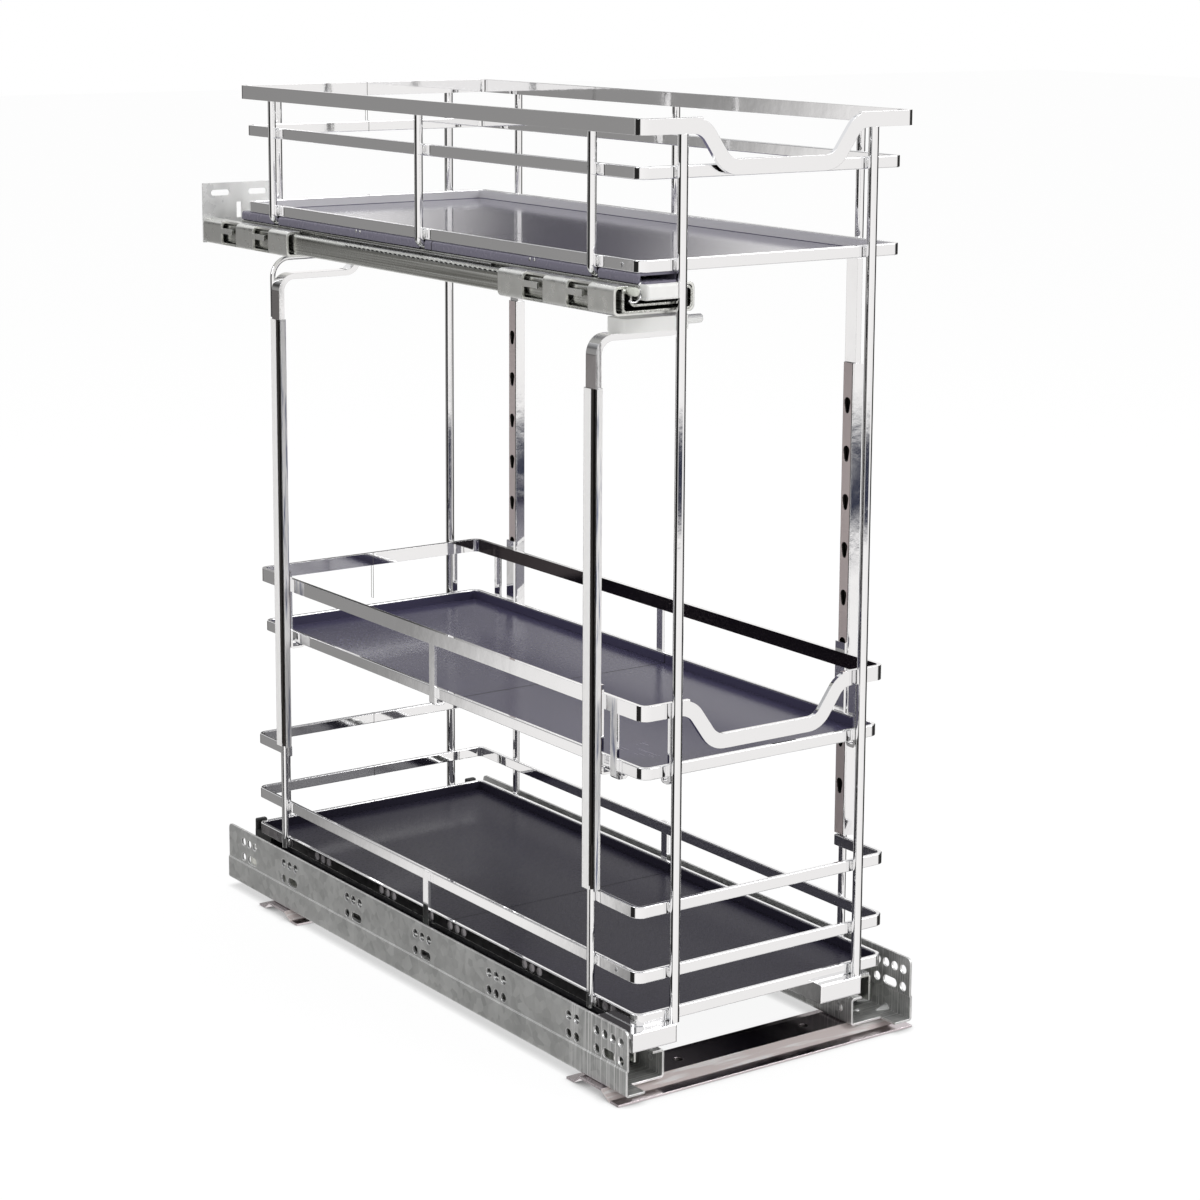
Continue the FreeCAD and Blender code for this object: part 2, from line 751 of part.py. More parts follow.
def rear_bracket():
    """Upright plate behind the rear clamp, slotted for the cabinet's back or side."""
    reach = slide_outer_width / 2.0 + clamp_side_gap + clamp_sheet
    x = slide_middle_x
    y = front + clamp_rear_place + clamp_length
    high = clamp_top + rear_plate_rise
    plate = box(x - reach, x + reach, y, y + sheet, clamp_bottom, high)
    z = high - rear_slot_drop
    half = rear_slot_width / 2.0
    run = (rear_slot_length - rear_slot_width) / 2.0
    for side in (-0.5, 0.5):
        middle = x + side * rear_slot_pitch
        slot = box(middle - run, middle + run, y - 1.0, y + 3.0, z - half, z + half)
        for end in (-run, run):
            slot = slot.fuse(Part.makeCylinder(half, 4.0, Vector(middle + end, y - 1.0, z), Vector(0, 1, 0)))
        plate = plate.cut(slot)
    tall_low = z - 2.0 * rear_slot_drop - rear_slot_width
    tall = box(x - half, x + half, y - 1.0, y + 3.0, tall_low, z - rear_slot_drop)
    tail_high = rear_tail_low + rear_tail_height
    tail = box(x + reach, x + reach + rear_tail_reach, y, y + sheet, rear_tail_low, tail_high)
    return plate.cut(tall).fuse(tail).removeSplitter()


def bracket_screws():
    """Flat screws that hold the clamps to the fixed member from below."""
    screws = []
    for place in (clamp_front_place, clamp_rear_place):
        for share in (0.12, 0.88):
            y = front + place + share * clamp_length
            base = Vector(slide_middle_x, y, clamp_bottom - rivet_head_height)
            screws.append(Part.makeCone(rivet_radius, rivet_head_radius, rivet_head_height, base))
    return screws


def hollow_bracket(x0, x1):
    """A box bracket folded from sheet, open at the back."""
    y0 = front + bracket_front
    y1 = y0 + bracket_depth
    full = box(x0, x1, y0, y1, bracket_bottom, bracket_top)
    upright = [edge for edge in full.Edges if abs(edge.Vertexes[0].Z - edge.Vertexes[-1].Z) > 1.0]
    level = [edge for edge in full.Edges if edge.Vertexes[0].Y < y0 + 0.1 and edge.Vertexes[-1].Y < y0 + 0.1]
    chosen = [edge for edge in upright if edge.Vertexes[0].Y < y0 + 0.1] + level
    unique = {edge.hashCode(): edge for edge in chosen}
    full = full.makeFillet(1.2, list(unique.values()))
    w = bracket_wall
    return full.cut(box(x0 + w, x1 - w, y0 + w, y1 + 1.0, bracket_bottom + w, bracket_top - w))


def front_brackets():
    """Left bracket over its drawer rail, right one inboard with a tongue to its rail."""
    left = hollow_bracket(-bracket_left_side - bracket_width, -bracket_left_side)
    right = hollow_bracket(bracket_right_side - bracket_width, bracket_right_side)
    y1 = front + bracket_front + bracket_depth
    reach = half_rails - 3.0 * sheet - 2.0 * ball_gap
    tongue = box(bracket_right_side - bracket_wall, reach, y1 - tongue_depth, y1, bracket_bottom,
                 bracket_bottom + bracket_wall)
    return left, right.fuse(tongue).removeSplitter()


def rear_catch():
    """Left black rear seat of a rear post, with the hook that holds the drawer rail down."""
    x0 = -post_side - catch_width + post_radius + 1.0
    y1 = post_rear_y + post_radius
    seat = box(x0, x0 + catch_width, y1 - catch_depth, y1, bracket_bottom, bracket_top)
    hook_x = x0 + 1.0
    hook = box(hook_x, hook_x + catch_hook_width, y1 - 2.0, y1 + 2.5, bracket_bottom,
               bracket_top + catch_hook_rise)
    rounded = [edge for edge in hook.Edges if edge.Length < 5.0 or edge.Vertexes[0].Z > bracket_top]
    hook = hook.makeFillet(1.2, rounded)
    return seat.fuse(hook).removeSplitter()


def post(x, y, z0, z1):
    """A round post behind or in front of the rails."""
    return Part.makeCylinder(post_radius, z1 - z0, Vector(x, y, z0))


def half_hoop(side, y_end, y_back, z):
    """A U-shaped rail round one end of the bottom basket."""
    half = bar_thickness / 2.0
    step = 1.0 if y_back > y_end else -1.0
    points = [(-side + half, y_back), (-side + half, y_end + step * half)]
    points += [(side - half, y_end + step * half), (side - half, y_back)]
    return strip("XY", points, bar_thickness, bar_corner, z, z + bar_height, False, bar_edge)


def side_strap(side, y, z0, z1):
    """A flat strap on the outside of a basket that hooks under its tray."""
    middle = side + strap_thickness / 2.0
    low = z0 - hook_drop + strap_thickness / 2.0
    line = [(-middle, z1), (-middle, low), (-middle + hook_reach, low), (-middle + hook_reach, z0)]
    return strip("XZ", line, strap_thickness, 1.6, y - strap_width / 2.0, y + strap_width / 2.0)


def keyholes():
    """Cutters for the left standard's keyholes."""
    cutters = []
    for count in range(-keyholes_below, keyholes_above + 1):
        middle = keyhole_middle + count * keyhole_pitch
        top = middle + keyhole_height / 2.0 - keyhole_head_radius
        low = middle - keyhole_height / 2.0 + keyhole_slot_radius
        cutters.append((top, low))
    return cutters


def keyhole_flank(y, top, low):
    """The wedge between a keyhole's wide and narrow round ends, along their common tangents."""
    lean = (keyhole_head_radius - keyhole_slot_radius) / (top - low)
    level = math.sqrt(1.0 - lean * lean)
    corners = []
    for radius, z, way in ((keyhole_head_radius, top, -1.0), (keyhole_head_radius, top, 1.0),
                           (keyhole_slot_radius, low, 1.0), (keyhole_slot_radius, low, -1.0)):
        corners.append(Vector(-standard_inner_side + 1.0, y + way * radius * level, z - radius * lean))
    outline = Part.makePolygon(corners + corners[:1])
    return Part.Face(outline).extrude(Vector(-3.0, 0, 0))


def standard(y):
    """Left height standard: a C section that widens outward from its keyholed web."""
    half = standard_sheet / 2.0
    inner = -standard_inner_side - half
    outer = -standard_outer_side + half
    reach = standard_width / 2.0 - half
    web = standard_web / 2.0 - half
    line = [
        (outer, y + reach - standard_cover + half),
        (outer, y + reach),
        (inner, y + web),
        (inner, y - web),
        (outer, y - reach),
    ]
    shape = strip("XY", line, standard_sheet, standard_bend, standard_bottom, standard_top)
    for top, low in keyholes():
        start = Vector(-standard_inner_side + 1.0, y, top)
        head = Part.makeCylinder(keyhole_head_radius, 3.0, start, Vector(-1, 0, 0))
        foot_start = Vector(-standard_inner_side + 1.0, y, low)
        foot = Part.makeCylinder(keyhole_slot_radius, 3.0, foot_start, Vector(-1, 0, 0))
        shape = shape.cut(head.fuse([foot, keyhole_flank(y, top, low)]))
    return shape


def lower_carrier(y):
    """Left bar that carries a standard on the bottom basket."""
    half = carrier_lower_width / 2.0
    high = standard_bottom + carrier_overlap
    bar = box(-carrier_outer, -carrier_inner, y - half, y + half, bottom_tray_z, high)
    return bar.makeFillet(carrier_rounding, [edge for edge in bar.Edges if edge.Length > carrier_overlap])


def straight_carrier(y):
    """Right side carrier: a lower bar and a wide upper bar up to the top tray, one forging."""
    low = lower_carrier(y)
    half = carrier_upper_width / 2.0
    start = standard_bottom + carrier_overlap
    narrow = carrier_lower_width / 2.0
    core_side = carrier_outer - core_thickness()
    core = box(-carrier_outer, -core_side, y - narrow, y + narrow, start, standard_top)
    under_wire = top_tray_z - 2.0 * top_wire_radius
    high = box(-carrier_outer, -carrier_inner, y - half, y + half, standard_top, under_wire)
    return low.fuse([core, high]).removeSplitter()


def core_thickness():
    """What is left of the carrier behind the keyholes, clear of the hook heads."""
    return carrier_outer - standard_inner_side - standard_sheet - pin_gap * 2.0 - pin_head_height


def bent_carrier(y):
    """Left side carrier: the upper bar turns in under the top slide and rises to the tray."""
    low = lower_carrier(y)
    start = standard_bottom + carrier_overlap
    narrow = carrier_lower_width / 2.0
    core_side = carrier_outer - core_thickness()
    core = box(-carrier_outer, -core_side, y - narrow, y + narrow, start, standard_top)
    middle = -(carrier_inner + carrier_outer) / 2.0
    half = carrier_upper_width / 2.0
    line = [(middle, standard_top), (middle, arm_z), (riser_x, arm_z), (riser_x, top_tray_z)]
    high = strip("XZ", line, carrier_thickness, arm_bend, y - half, y + half)
    return low.fuse([core, high]).removeSplitter()


def arm_block(y):
    """Block on the front arm, with a slot that lets the arm's rising end through."""
    z0 = arm_z + carrier_thickness / 2.0
    half = block_depth / 2.0
    block = box(block_left, block_body_right, y - half, y + half, z0, z0 + block_height)
    upright = [edge for edge in block.Edges if edge.Length < block_height + 0.1]
    block = block.makeFillet(block_rounding, upright)
    peg_start = Vector(block_body_right - peg_radius, y, z0 + block_height / 2.0)
    peg = Part.makeCylinder(peg_radius, peg_length + peg_radius, peg_start, Vector(1, 0, 0))
    peg_end = [edge for edge in peg.Edges if edge.BoundBox.XMin > block_right - 0.1]
    peg = peg.makeFillet(peg_rounding, peg_end)
    block = block.fuse(peg).removeSplitter()
    clear = ball_clearance
    bend_room = arm_bend + carrier_thickness / 2.0
    past = riser_x + carrier_thickness / 2.0 + clear
    beside = carrier_upper_width / 2.0 + clear
    slot = box(riser_x - bend_room, past, y - beside, y + beside, z0 - 1.0, z0 + block_height + 1.0)
    return block.cut(slot)


def brace(y):
    """Round brace beside the rear arm, from the standard's top to the rising end."""
    side = -(carrier_inner + carrier_outer) / 2.0
    rear = y + carrier_upper_width / 2.0 + brace_radius
    points = [(side, rear, standard_top + 1.0), (side, rear, brace_z), (riser_x, rear, brace_z)]
    return rod(points, brace_radius, brace_bend)


def hanger(y):
    """Left hanger of the middle basket with two headed pins in the keyholes."""
    x0 = -middle_rim_side - hanger_thickness
    half = hanger_width / 2.0
    low = middle_tray_z - hook_drop
    high = middle_rim_z + rim_height + hanger_rise
    t = hanger_thickness / 2.0
    tip = -middle_side + hook_reach
    line = [(x0 + t, high), (x0 + t, low + t), (tip, low + t), (tip, middle_tray_z)]
    shape = strip("XZ", line, hanger_thickness, 1.5, y - half, y + half)
    shapes = [shape]
    for count in (0, -1):
        middle = keyhole_middle + count * keyhole_pitch
        z = middle - keyhole_height / 2.0 + keyhole_slot_radius
        neck = standard_inner_side + standard_sheet + pin_gap + x0
        shank = Part.makeCylinder(pin_radius, neck, Vector(x0, y, z), Vector(-1, 0, 0))
        head_start = Vector(x0 - neck, y, z)
        head = Part.makeCylinder(pin_head_radius, pin_head_height, head_start, Vector(-1, 0, 0))
        shapes += [shank, head]
    return shapes[0].fuse(shapes[1:]).removeSplitter()


def end_strap(x, y, inward, z0, z1):
    """A flat strap on the front or rear of a basket that hooks under its tray."""
    middle = y - inward * strap_thickness / 2.0
    low = z0 - hook_drop + strap_thickness / 2.0
    tip = middle + inward * hook_reach
    line = [(middle, z1), (middle, low), (tip, low), (tip, z0)]
    half = end_strap_width / 2.0
    return strip("YZ", line, strap_thickness, 1.6, x - half, x + half)


def top_wire(y):
    """Left side wire of the top basket, bent in under the tray."""
    x = -top_side - top_wire_radius
    low = top_tray_z - top_wire_radius
    points = [(x, y, top_rim_z), (x, y, low), (x + top_wire_reach, y, low)]
    return rod(points, top_wire_radius, top_wire_bend)


def mounting_plate():
    """Channel between the moving slide member and the top tray, notched round the wires."""
    half = sheet / 2.0
    reach = mounting_plate_width / 2.0 - half
    x = slide_middle_x
    crown = top_tray_z - half
    line = [(x - reach, inner_top), (x - reach, crown), (x + reach, crown), (x + reach, inner_top)]
    y0 = front + slide_inner_front
    plate = strip("XZ", line, sheet, rail_bend, y0, y0 + slide_inner_length)
    room = top_wire_radius + 0.5
    for offset in top_wire_offsets:
        y = basket_mid_y + offset
        end = -top_side + top_wire_reach
        plate = plate.cut(box(x - reach - 5.0, end, y - room, y + room, inner_top - 1.0, top_tray_z + 1.0))
    nose_left = x - nose_width / 2.0
    nose = box(nose_left, beside_post, y0 - nose_reach, y0 + nose_lap, inner_top, inner_top + sheet)
    return plate.fuse(nose).removeSplitter()


def screw_spots():
    """Where the mounting plate is screwed to the moving slide member."""
    spots = []
    for share in screw_shares:
        y = front + slide_inner_front + share * slide_inner_length
        spots.append(Vector(slide_middle_x, y, inner_top))
    return spots


def plate_screws():
    """Screws from the mounting plate's web down into the moving slide member."""
    screws = []
    for base in screw_spots():
        head = Part.makeCylinder(screw_radius * 1.9, mounting_plate_height - sheet, base)
        shank = Part.makeCylinder(screw_radius, 4.0, base - Vector(0, 0, 4.0))
        screws.append(head.fuse(shank))
    return screws


def bumper():
    """Pale end stop at the front of the moving slide member."""
    inner = slide_outer_width / 2.0 - 3.0 * sheet - 2.0 * ball_gap
    y = front + slide_inner_front
    low = clamp_bottom + clamp_sheet + slide_floor_gap + 2.0 * sheet + drawer_rail_lift
    block = box(slide_middle_x - inner, beside_post, y - bumper_depth, y, low, inner_top)
    return block.makeFillet(2.0, [edge for edge in block.Edges if edge.Vertexes[0].Y < y - 1.0 and
                                  edge.Vertexes[-1].Y < y - 1.0])


def build_base():
    """Everything that stays fixed to the cabinet."""
    rail = cabinet_rail()
    save("cabinet_rail_left", rail)
    save("cabinet_rail_right", mirrored(rail))
    save("front_cross_member", cross_member(cross_front_place))
    save("rear_cross_member", cross_member(cross_rear_place))
    save("base_rivets", rail_rivets() + bracket_screws())
    save("top_clamp_front", slide_clamp(clamp_front_place, clamp_windows))
    save("top_clamp_rear", slide_clamp(clamp_rear_place, clamp_windows))
    save("rear_wall_bracket", rear_bracket())


def build_slides():
    """The telescopic members with their ball cages."""
    middle_rail, drawer_rail, outer_cage, inner_cage = bottom_slide()
    save("middle_rail_left", middle_rail)
    save("middle_rail_right", mirrored(middle_rail))
    save("outer_cage_left", outer_cage)
    save("outer_cage_right", [mirrored(piece) for piece in outer_cage])
    save("inner_cage_left", inner_cage)
    save("inner_cage_right", [mirrored(piece) for piece in inner_cage])
    save("drawer_rail_left", drawer_rail)
    save("drawer_rail_right", mirrored(drawer_rail))
    outer, middle, inner, outer_cage, inner_cage = top_slide()
    save("top_slide_outer", outer)
    save("top_slide_middle", middle)
    save("top_slide_inner", inner)
    save("outer_cage_top", outer_cage)
    save("inner_cage_top", inner_cage)


def build_frame():
    """Brackets, posts, standards and their carriers."""
    left, right = front_brackets()
    save("front_bracket_left", left)
    save("front_bracket_right", right)
    catch = rear_catch()
    save("rear_catch_left", catch)
    save("rear_catch_right", mirrored(catch))
    save("post_front_left", post(-post_side, post_front_y, bracket_top, top_rim_z))
    save("post_front_right", post(post_side, post_front_y, bracket_top, top_rim_z))
    save("post_rear_right", post(post_side, post_rear_y, bracket_top, top_rim_z))
    save("post_rear_left_lower", post(-post_side, post_rear_y, bracket_top, bottom_top_z + bar_height))
    save("post_rear_left_upper", post(-post_side, post_rear_y, top_tray_z, top_rim_z))
    for name, y in zip(("front", "rear"), standard_y):
        shape = standard(y)
        save("standard_" + name + "_left", shape)
        save("standard_" + name + "_right", mirrored(shape))
        save("carrier_" + name + "_left", bent_carrier(y))
        save("carrier_" + name + "_right", mirrored(straight_carrier(y)))
    save("arm_block", arm_block(standard_y[0]))
    save("rear_arm_brace", brace(standard_y[1]))


def build_bottom_basket():
    """Bottom basket, fixed to the frame."""
    save("bottom_tray_rim", hoop(bottom_side, basket_y0, basket_y1, bottom_tray_z, bar_height))
    save("bottom_tray", tray(bottom_side, basket_y0, basket_y1, bottom_tray_z))
    save("bottom_middle_rail", hoop(bottom_side, basket_y0, basket_y1, bottom_middle_z, bar_height))
    front_end = standard_y[0] + carrier_lower_width / 2.0
    save("bottom_front_rail", half_hoop(bottom_side, basket_y0, front_end, bottom_top_z))
    rear_end = standard_y[1] - carrier_lower_width / 2.0
    save("bottom_rear_rail", half_hoop(bottom_side, basket_y1, rear_end, bottom_top_z))
    straps = []
    strap = side_strap(bottom_side, basket_mid_y, bottom_tray_z, bottom_middle_z + bar_height)
    straps += [strap, mirrored(strap)]
    save("bottom_side_straps", straps)


def build_middle_basket():
    """Middle basket, hooked into the standards."""
    rim_y0 = middle_y0 - strap_thickness
    rim_y1 = middle_y1 + strap_thickness
    save("middle_rim", dipped_hoop(middle_rim_side, rim_y0, rim_y1, middle_rim_z, rim_height))
    save("middle_tray_rim", hoop(middle_side, middle_y0, middle_y1, middle_tray_z, bar_height))
    save("middle_tray", tray(middle_side, middle_y0, middle_y1, middle_tray_z))
    straps = []
    for offset in side_strap_offsets:
        strap = side_strap(middle_side, basket_mid_y + offset, middle_tray_z, middle_rim_z)
        straps += [strap, mirrored(strap)]
    for x in (-end_strap_side, end_strap_side):
        straps.append(end_strap(x, middle_y0, 1.0, middle_tray_z, middle_rim_z))
        straps.append(end_strap(x, middle_y1, -1.0, middle_tray_z, middle_rim_z))
    save("middle_straps", straps)
    hangers = []
    for y in standard_y:
        shape = hanger(y)
        hangers += [shape, mirrored(shape)]
    save("middle_hangers", hangers)


def build_top_basket():
    """Top basket, fixed to the frame and hung on the top slide."""
    rim_y0 = front + top_rim_front
    save("top_rim", dipped_hoop(top_rim_side, rim_y0, rim_y0 + top_rim_depth, top_rim_z, rim_height))
    save("top_middle_rail", hoop(top_side, basket_y0, basket_y1, top_middle_z, bar_height))
    save("top_tray_rim", hoop(top_side, basket_y0, basket_y1, top_tray_z, bar_height))
    save("top_tray", tray(top_side, basket_y0, basket_y1, top_tray_z))
    wires = []
    for offset in top_wire_offsets:
        wire = top_wire(basket_mid_y + offset)
        wires += [wire, mirrored(wire)]
    save("top_side_wires", wires)
    save("mounting_plate", mounting_plate())
    save("mounting_plate_screws", plate_screws())
    save("slide_bumper", bumper())


build_base()
build_slides()
build_frame()
build_bottom_basket()
build_middle_basket()
build_top_basket()
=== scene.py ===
import math

import bmesh
import bpy
from mathutils import Matrix, Vector


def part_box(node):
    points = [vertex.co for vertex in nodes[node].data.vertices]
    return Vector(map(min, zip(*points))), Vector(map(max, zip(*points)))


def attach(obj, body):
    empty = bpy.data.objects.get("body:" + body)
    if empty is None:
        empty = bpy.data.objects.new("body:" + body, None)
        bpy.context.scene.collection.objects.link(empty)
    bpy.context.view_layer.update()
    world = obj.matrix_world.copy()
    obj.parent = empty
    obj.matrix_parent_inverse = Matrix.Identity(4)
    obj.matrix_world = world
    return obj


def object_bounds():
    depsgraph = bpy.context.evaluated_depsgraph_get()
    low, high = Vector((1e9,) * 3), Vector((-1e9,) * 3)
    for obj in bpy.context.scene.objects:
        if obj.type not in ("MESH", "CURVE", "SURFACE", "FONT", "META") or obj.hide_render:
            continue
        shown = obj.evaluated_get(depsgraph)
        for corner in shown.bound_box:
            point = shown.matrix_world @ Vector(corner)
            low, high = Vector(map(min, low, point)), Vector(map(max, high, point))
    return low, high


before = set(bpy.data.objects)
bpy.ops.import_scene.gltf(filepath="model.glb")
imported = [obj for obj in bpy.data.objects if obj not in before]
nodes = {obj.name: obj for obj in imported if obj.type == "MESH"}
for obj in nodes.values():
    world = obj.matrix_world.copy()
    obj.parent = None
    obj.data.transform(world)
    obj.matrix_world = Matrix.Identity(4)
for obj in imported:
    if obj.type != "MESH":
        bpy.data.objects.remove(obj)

# Lengths are metres. X points right, the front faces -Y and the cabinet's floor is Z = 0.
cad_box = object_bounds()

# The studio. White paper under and behind the pull-out, soft lamps, and walls that differ in
# brightness, because chrome shows nothing but its surroundings: a grey flat stands on the left
# behind, a narrow black one on the left and another on the right.
scene = bpy.context.scene
scene.view_settings.view_transform = "Standard"
world = bpy.data.worlds.new("studio")
scene.world = world
world.use_nodes = True
tree = world.node_tree
tree.nodes.clear()
paper_white = (1.0, 1.0, 1.0, 1.0)
room_strength = 0.55
wall_shift = 0.0231
wall_lean = -0.0955
# Each wall tone is a share of the full turn round the part, and the brightness there.
wall_tones = (
    (0.000, 0.02), (0.016, 0.02), (0.032, 0.90), (0.060, 1.00), (0.300, 0.95), (0.385, 0.92),
    (0.400, 0.10), (0.430, 0.03), (0.560, 0.03), (0.576, 0.95), (0.609, 1.00), (0.617, 0.07),
    (0.6255, 0.07), (0.6325, 1.00), (0.730, 0.90), (0.750, 0.06), (0.788, 0.06), (0.802, 0.27),
    (0.8365, 0.29), (0.8445, 0.92), (0.855, 0.92), (0.8568, 0.30), (0.8685, 0.26), (0.8735, 0.02),
    (1.000, 0.02),
)
green_share = 0.985
blue_share = 0.975
# How steep a direction is where the tone above or below begins, and where it is full.
overhead = ((0.25, 0.70), (0.80, 0.81, 0.83, 1.0))
underfoot = ((-0.40, -0.80), (0.88, 0.88, 0.88, 1.0))
# A dark tripod: where its middle is, how far it is fully dark, and how far it reaches.
tripod_turn = (0.175, 0.110, 0.130)
tripod_height = (-0.18, 0.012, 0.024)
tripod_tone = (0.030, 0.034, 0.060, 1.0)
# A mix node has sockets for every kind of value: the places of its two values and of its result.
mix_sockets = {"RGBA": (6, 7, 2), "FLOAT": (2, 3, 0)}


def feed(tree, socket, value):
    """Set a node's input, with a link where the value is another node's output."""
    if isinstance(value, bpy.types.NodeSocket):
        tree.links.new(value, socket)
    else:
        socket.default_value = value


def reckon(tree, operation, *values):
    """What a math node makes of numbers and of other nodes' outputs."""
    node = tree.nodes.new("ShaderNodeMath")
    node.operation = operation
    for socket, value in zip(node.inputs, values):
        feed(tree, socket, value)
    return node.outputs[0]


def rise(tree, value, start, end, low=0.0, high=1.0):
    """A value that goes from low at start to high at end and stays level outside them."""
    reach = tree.nodes.new("ShaderNodeMapRange")
    settings = {"Value": value, "From Min": start, "From Max": end, "To Min": low, "To Max": high}
    for name, setting in settings.items():
        feed(tree, reach.inputs[name], setting)
    return reach.outputs["Result"]


def mixed(tree, share, one, other, kind="RGBA"):
    """One colour, or one number for FLOAT, with a share of another in it."""
    first, second, result = mix_sockets[kind]
    mix = tree.nodes.new("ShaderNodeMix")
    mix.data_type = kind
    feed(tree, mix.inputs[0], share)
    feed(tree, mix.inputs[first], one)
    feed(tree, mix.inputs[second], other)
    return mix.outputs[result]


def background(tree, color, strength=1.0):
    """Light that comes from every side."""
    light = tree.nodes.new("ShaderNodeBackground")
    feed(tree, light.inputs["Color"], color)
    light.inputs["Strength"].default_value = strength
    return light.outputs[0]


def chosen(tree, choice, one, other):
    """One shader where the choice is 0 and another where it is 1."""
    mix = tree.nodes.new("ShaderNodeMixShader")
    for socket, value in zip(mix.inputs, (choice, one, other)):
        tree.links.new(value, socket)
    return mix.outputs[0]


around = tree.nodes.new("ShaderNodeTexCoord")
split = tree.nodes.new("ShaderNodeSeparateXYZ")
tree.links.new(around.outputs["Generated"], split.inputs[0])
height = split.outputs["Z"]
bearing = reckon(tree, "ARCTAN2", split.outputs["Y"], split.outputs["X"])
turn = rise(tree, bearing, -math.pi, math.pi)
shifted = reckon(tree, "SUBTRACT", turn, wall_shift)
walls = tree.nodes.new("ShaderNodeValToRGB")
tree.links.new(reckon(tree, "MULTIPLY_ADD", height, wall_lean, shifted), walls.inputs["Fac"])
ramp = walls.color_ramp
while len(ramp.elements) < len(wall_tones):
    ramp.elements.new(0.5)
for stop, (spot, tone) in zip(ramp.elements, wall_tones):
    stop.position = spot
    stop.color = (tone, tone * green_share, tone * blue_share, 1.0)
shade = walls.outputs["Color"]
for (start, end), tone in (overhead, underfoot):
    shade = mixed(tree, rise(tree, height, start, end), shade, tone)
tripod_sides = []
for value, (centre, inside, outside) in ((turn, tripod_turn), (height, tripod_height)):
    away = reckon(tree, "ABSOLUTE", reckon(tree, "SUBTRACT", value, centre))
    tripod_sides.append(rise(tree, away, outside, inside))
tripod = reckon(tree, "MULTIPLY", *tripod_sides)
mirrored_room = background(tree, mixed(tree, tripod, shade, tripod_tone))
plain_room = background(tree, paper_white, room_strength)
rays = tree.nodes.new("ShaderNodeLightPath")
lit_room = chosen(tree, rays.outputs["Is Glossy Ray"], plain_room, mirrored_room)
seen_room = chosen(tree, rays.outputs["Is Camera Ray"], lit_room, background(tree, paper_white))
room = tree.nodes.new("ShaderNodeOutputWorld")
tree.links.new(seen_room, room.inputs["Surface"])
middle = Vector((0.0, 0.0, cad_box[1][2] / 2.0))


def soft_lamp(name, spot, width, height, power):
    """A soft box: an area lamp that points at the middle of the pull-out."""
    data = bpy.data.lights.new(name, "AREA")
    data.shape = "RECTANGLE"
    data.size = width
    data.size_y = height
    data.energy = power
    lamp = bpy.data.objects.new(name, data)
    lamp.location = spot
    lamp.rotation_euler = (middle - Vector(spot)).to_track_quat("-Z", "Y").to_euler()
    scene.collection.objects.link(lamp)


soft_lamp("key_lamp", (1.5, -2.2, 1.9), width=1.6, height=1.6, power=34.0)
soft_lamp("side_lamp", (-2.4, 0.2, 1.6), width=1.2, height=1.6, power=14.0)
soft_lamp("top_lamp", (0.2, 0.4, 2.6), width=1.8, height=1.8, power=16.0)

# The camera stands where the photograph was taken from and looks slightly down. A small lens shift
# keeps the upright posts nearly parallel, as they are in the photograph.
photo_width = 1200.0
focal_pixels = 2857.2
lens_shift_pixels = 144.0
camera_spot = (-1.12960, -1.67895, 0.72640)
yaw = math.radians(35.167)
pitch = math.radians(-9.972)
roll = math.radians(0.311)
camera_data = bpy.data.cameras.new("camera")
camera_data.sensor_width = 36.0
camera_data.lens = focal_pixels / photo_width * camera_data.sensor_width
camera_data.shift_y = -lens_shift_pixels / photo_width
camera = bpy.data.objects.new("camera", camera_data)
scene.collection.objects.link(camera)
ahead = Vector((math.sin(yaw) * math.cos(pitch), math.cos(yaw) * math.cos(pitch), math.sin(pitch)))
level_right = Vector((math.cos(yaw), -math.sin(yaw), 0.0))
level_up = level_right.cross(ahead)
right = level_right * math.cos(roll) + level_up * math.sin(roll)
up = level_up * math.cos(roll) - level_right * math.sin(roll)
axes = Matrix((right, up, -ahead)).transposed().to_4x4()
camera.matrix_world = Matrix.Translation(camera_spot) @ axes
scene.camera = camera

# The floor is a sheet of white paper. It keeps a faint shadow close to what stands on it, and is
# otherwise as white as the photograph's background.
floor_half = 12.0
contact_reach = 0.008
paper_glow = 1.05
glow_share = 0.88
floor_mesh = bpy.data.meshes.new("paper_floor")
shape = bmesh.new()
bmesh.ops.create_grid(shape, x_segments=1, y_segments=1, size=floor_half)
shape.to_mesh(floor_mesh)
shape.free()
floor = bpy.data.objects.new("paper_floor", floor_mesh)
scene.collection.objects.link(floor)
paper = bpy.data.materials.new("white_paper")
paper.use_nodes = True
tree = paper.node_tree
tree.nodes.clear()
matt = tree.nodes.new("ShaderNodeBsdfDiffuse")
matt.inputs["Color"].default_value = (0.9, 0.9, 0.9, 1.0)
contact = tree.nodes.new("ShaderNodeAmbientOcclusion")
contact.inputs["Distance"].default_value = contact_reach
contact.samples = 8
glow = tree.nodes.new("ShaderNodeEmission")
tree.links.new(reckon(tree, "MULTIPLY", contact.outputs["AO"], paper_glow), glow.inputs["Strength"])
rays = tree.nodes.new("ShaderNodeLightPath")
seen = reckon(tree, "MAXIMUM", rays.outputs["Is Camera Ray"], rays.outputs["Is Glossy Ray"])
share = reckon(tree, "MULTIPLY", seen, glow_share)
surface = tree.nodes.new("ShaderNodeOutputMaterial")
tree.links.new(chosen(tree, share, matt.outputs[0], glow.outputs[0]), surface.inputs["Surface"])
floor_mesh.materials.append(paper)
floor.visible_glossy = False

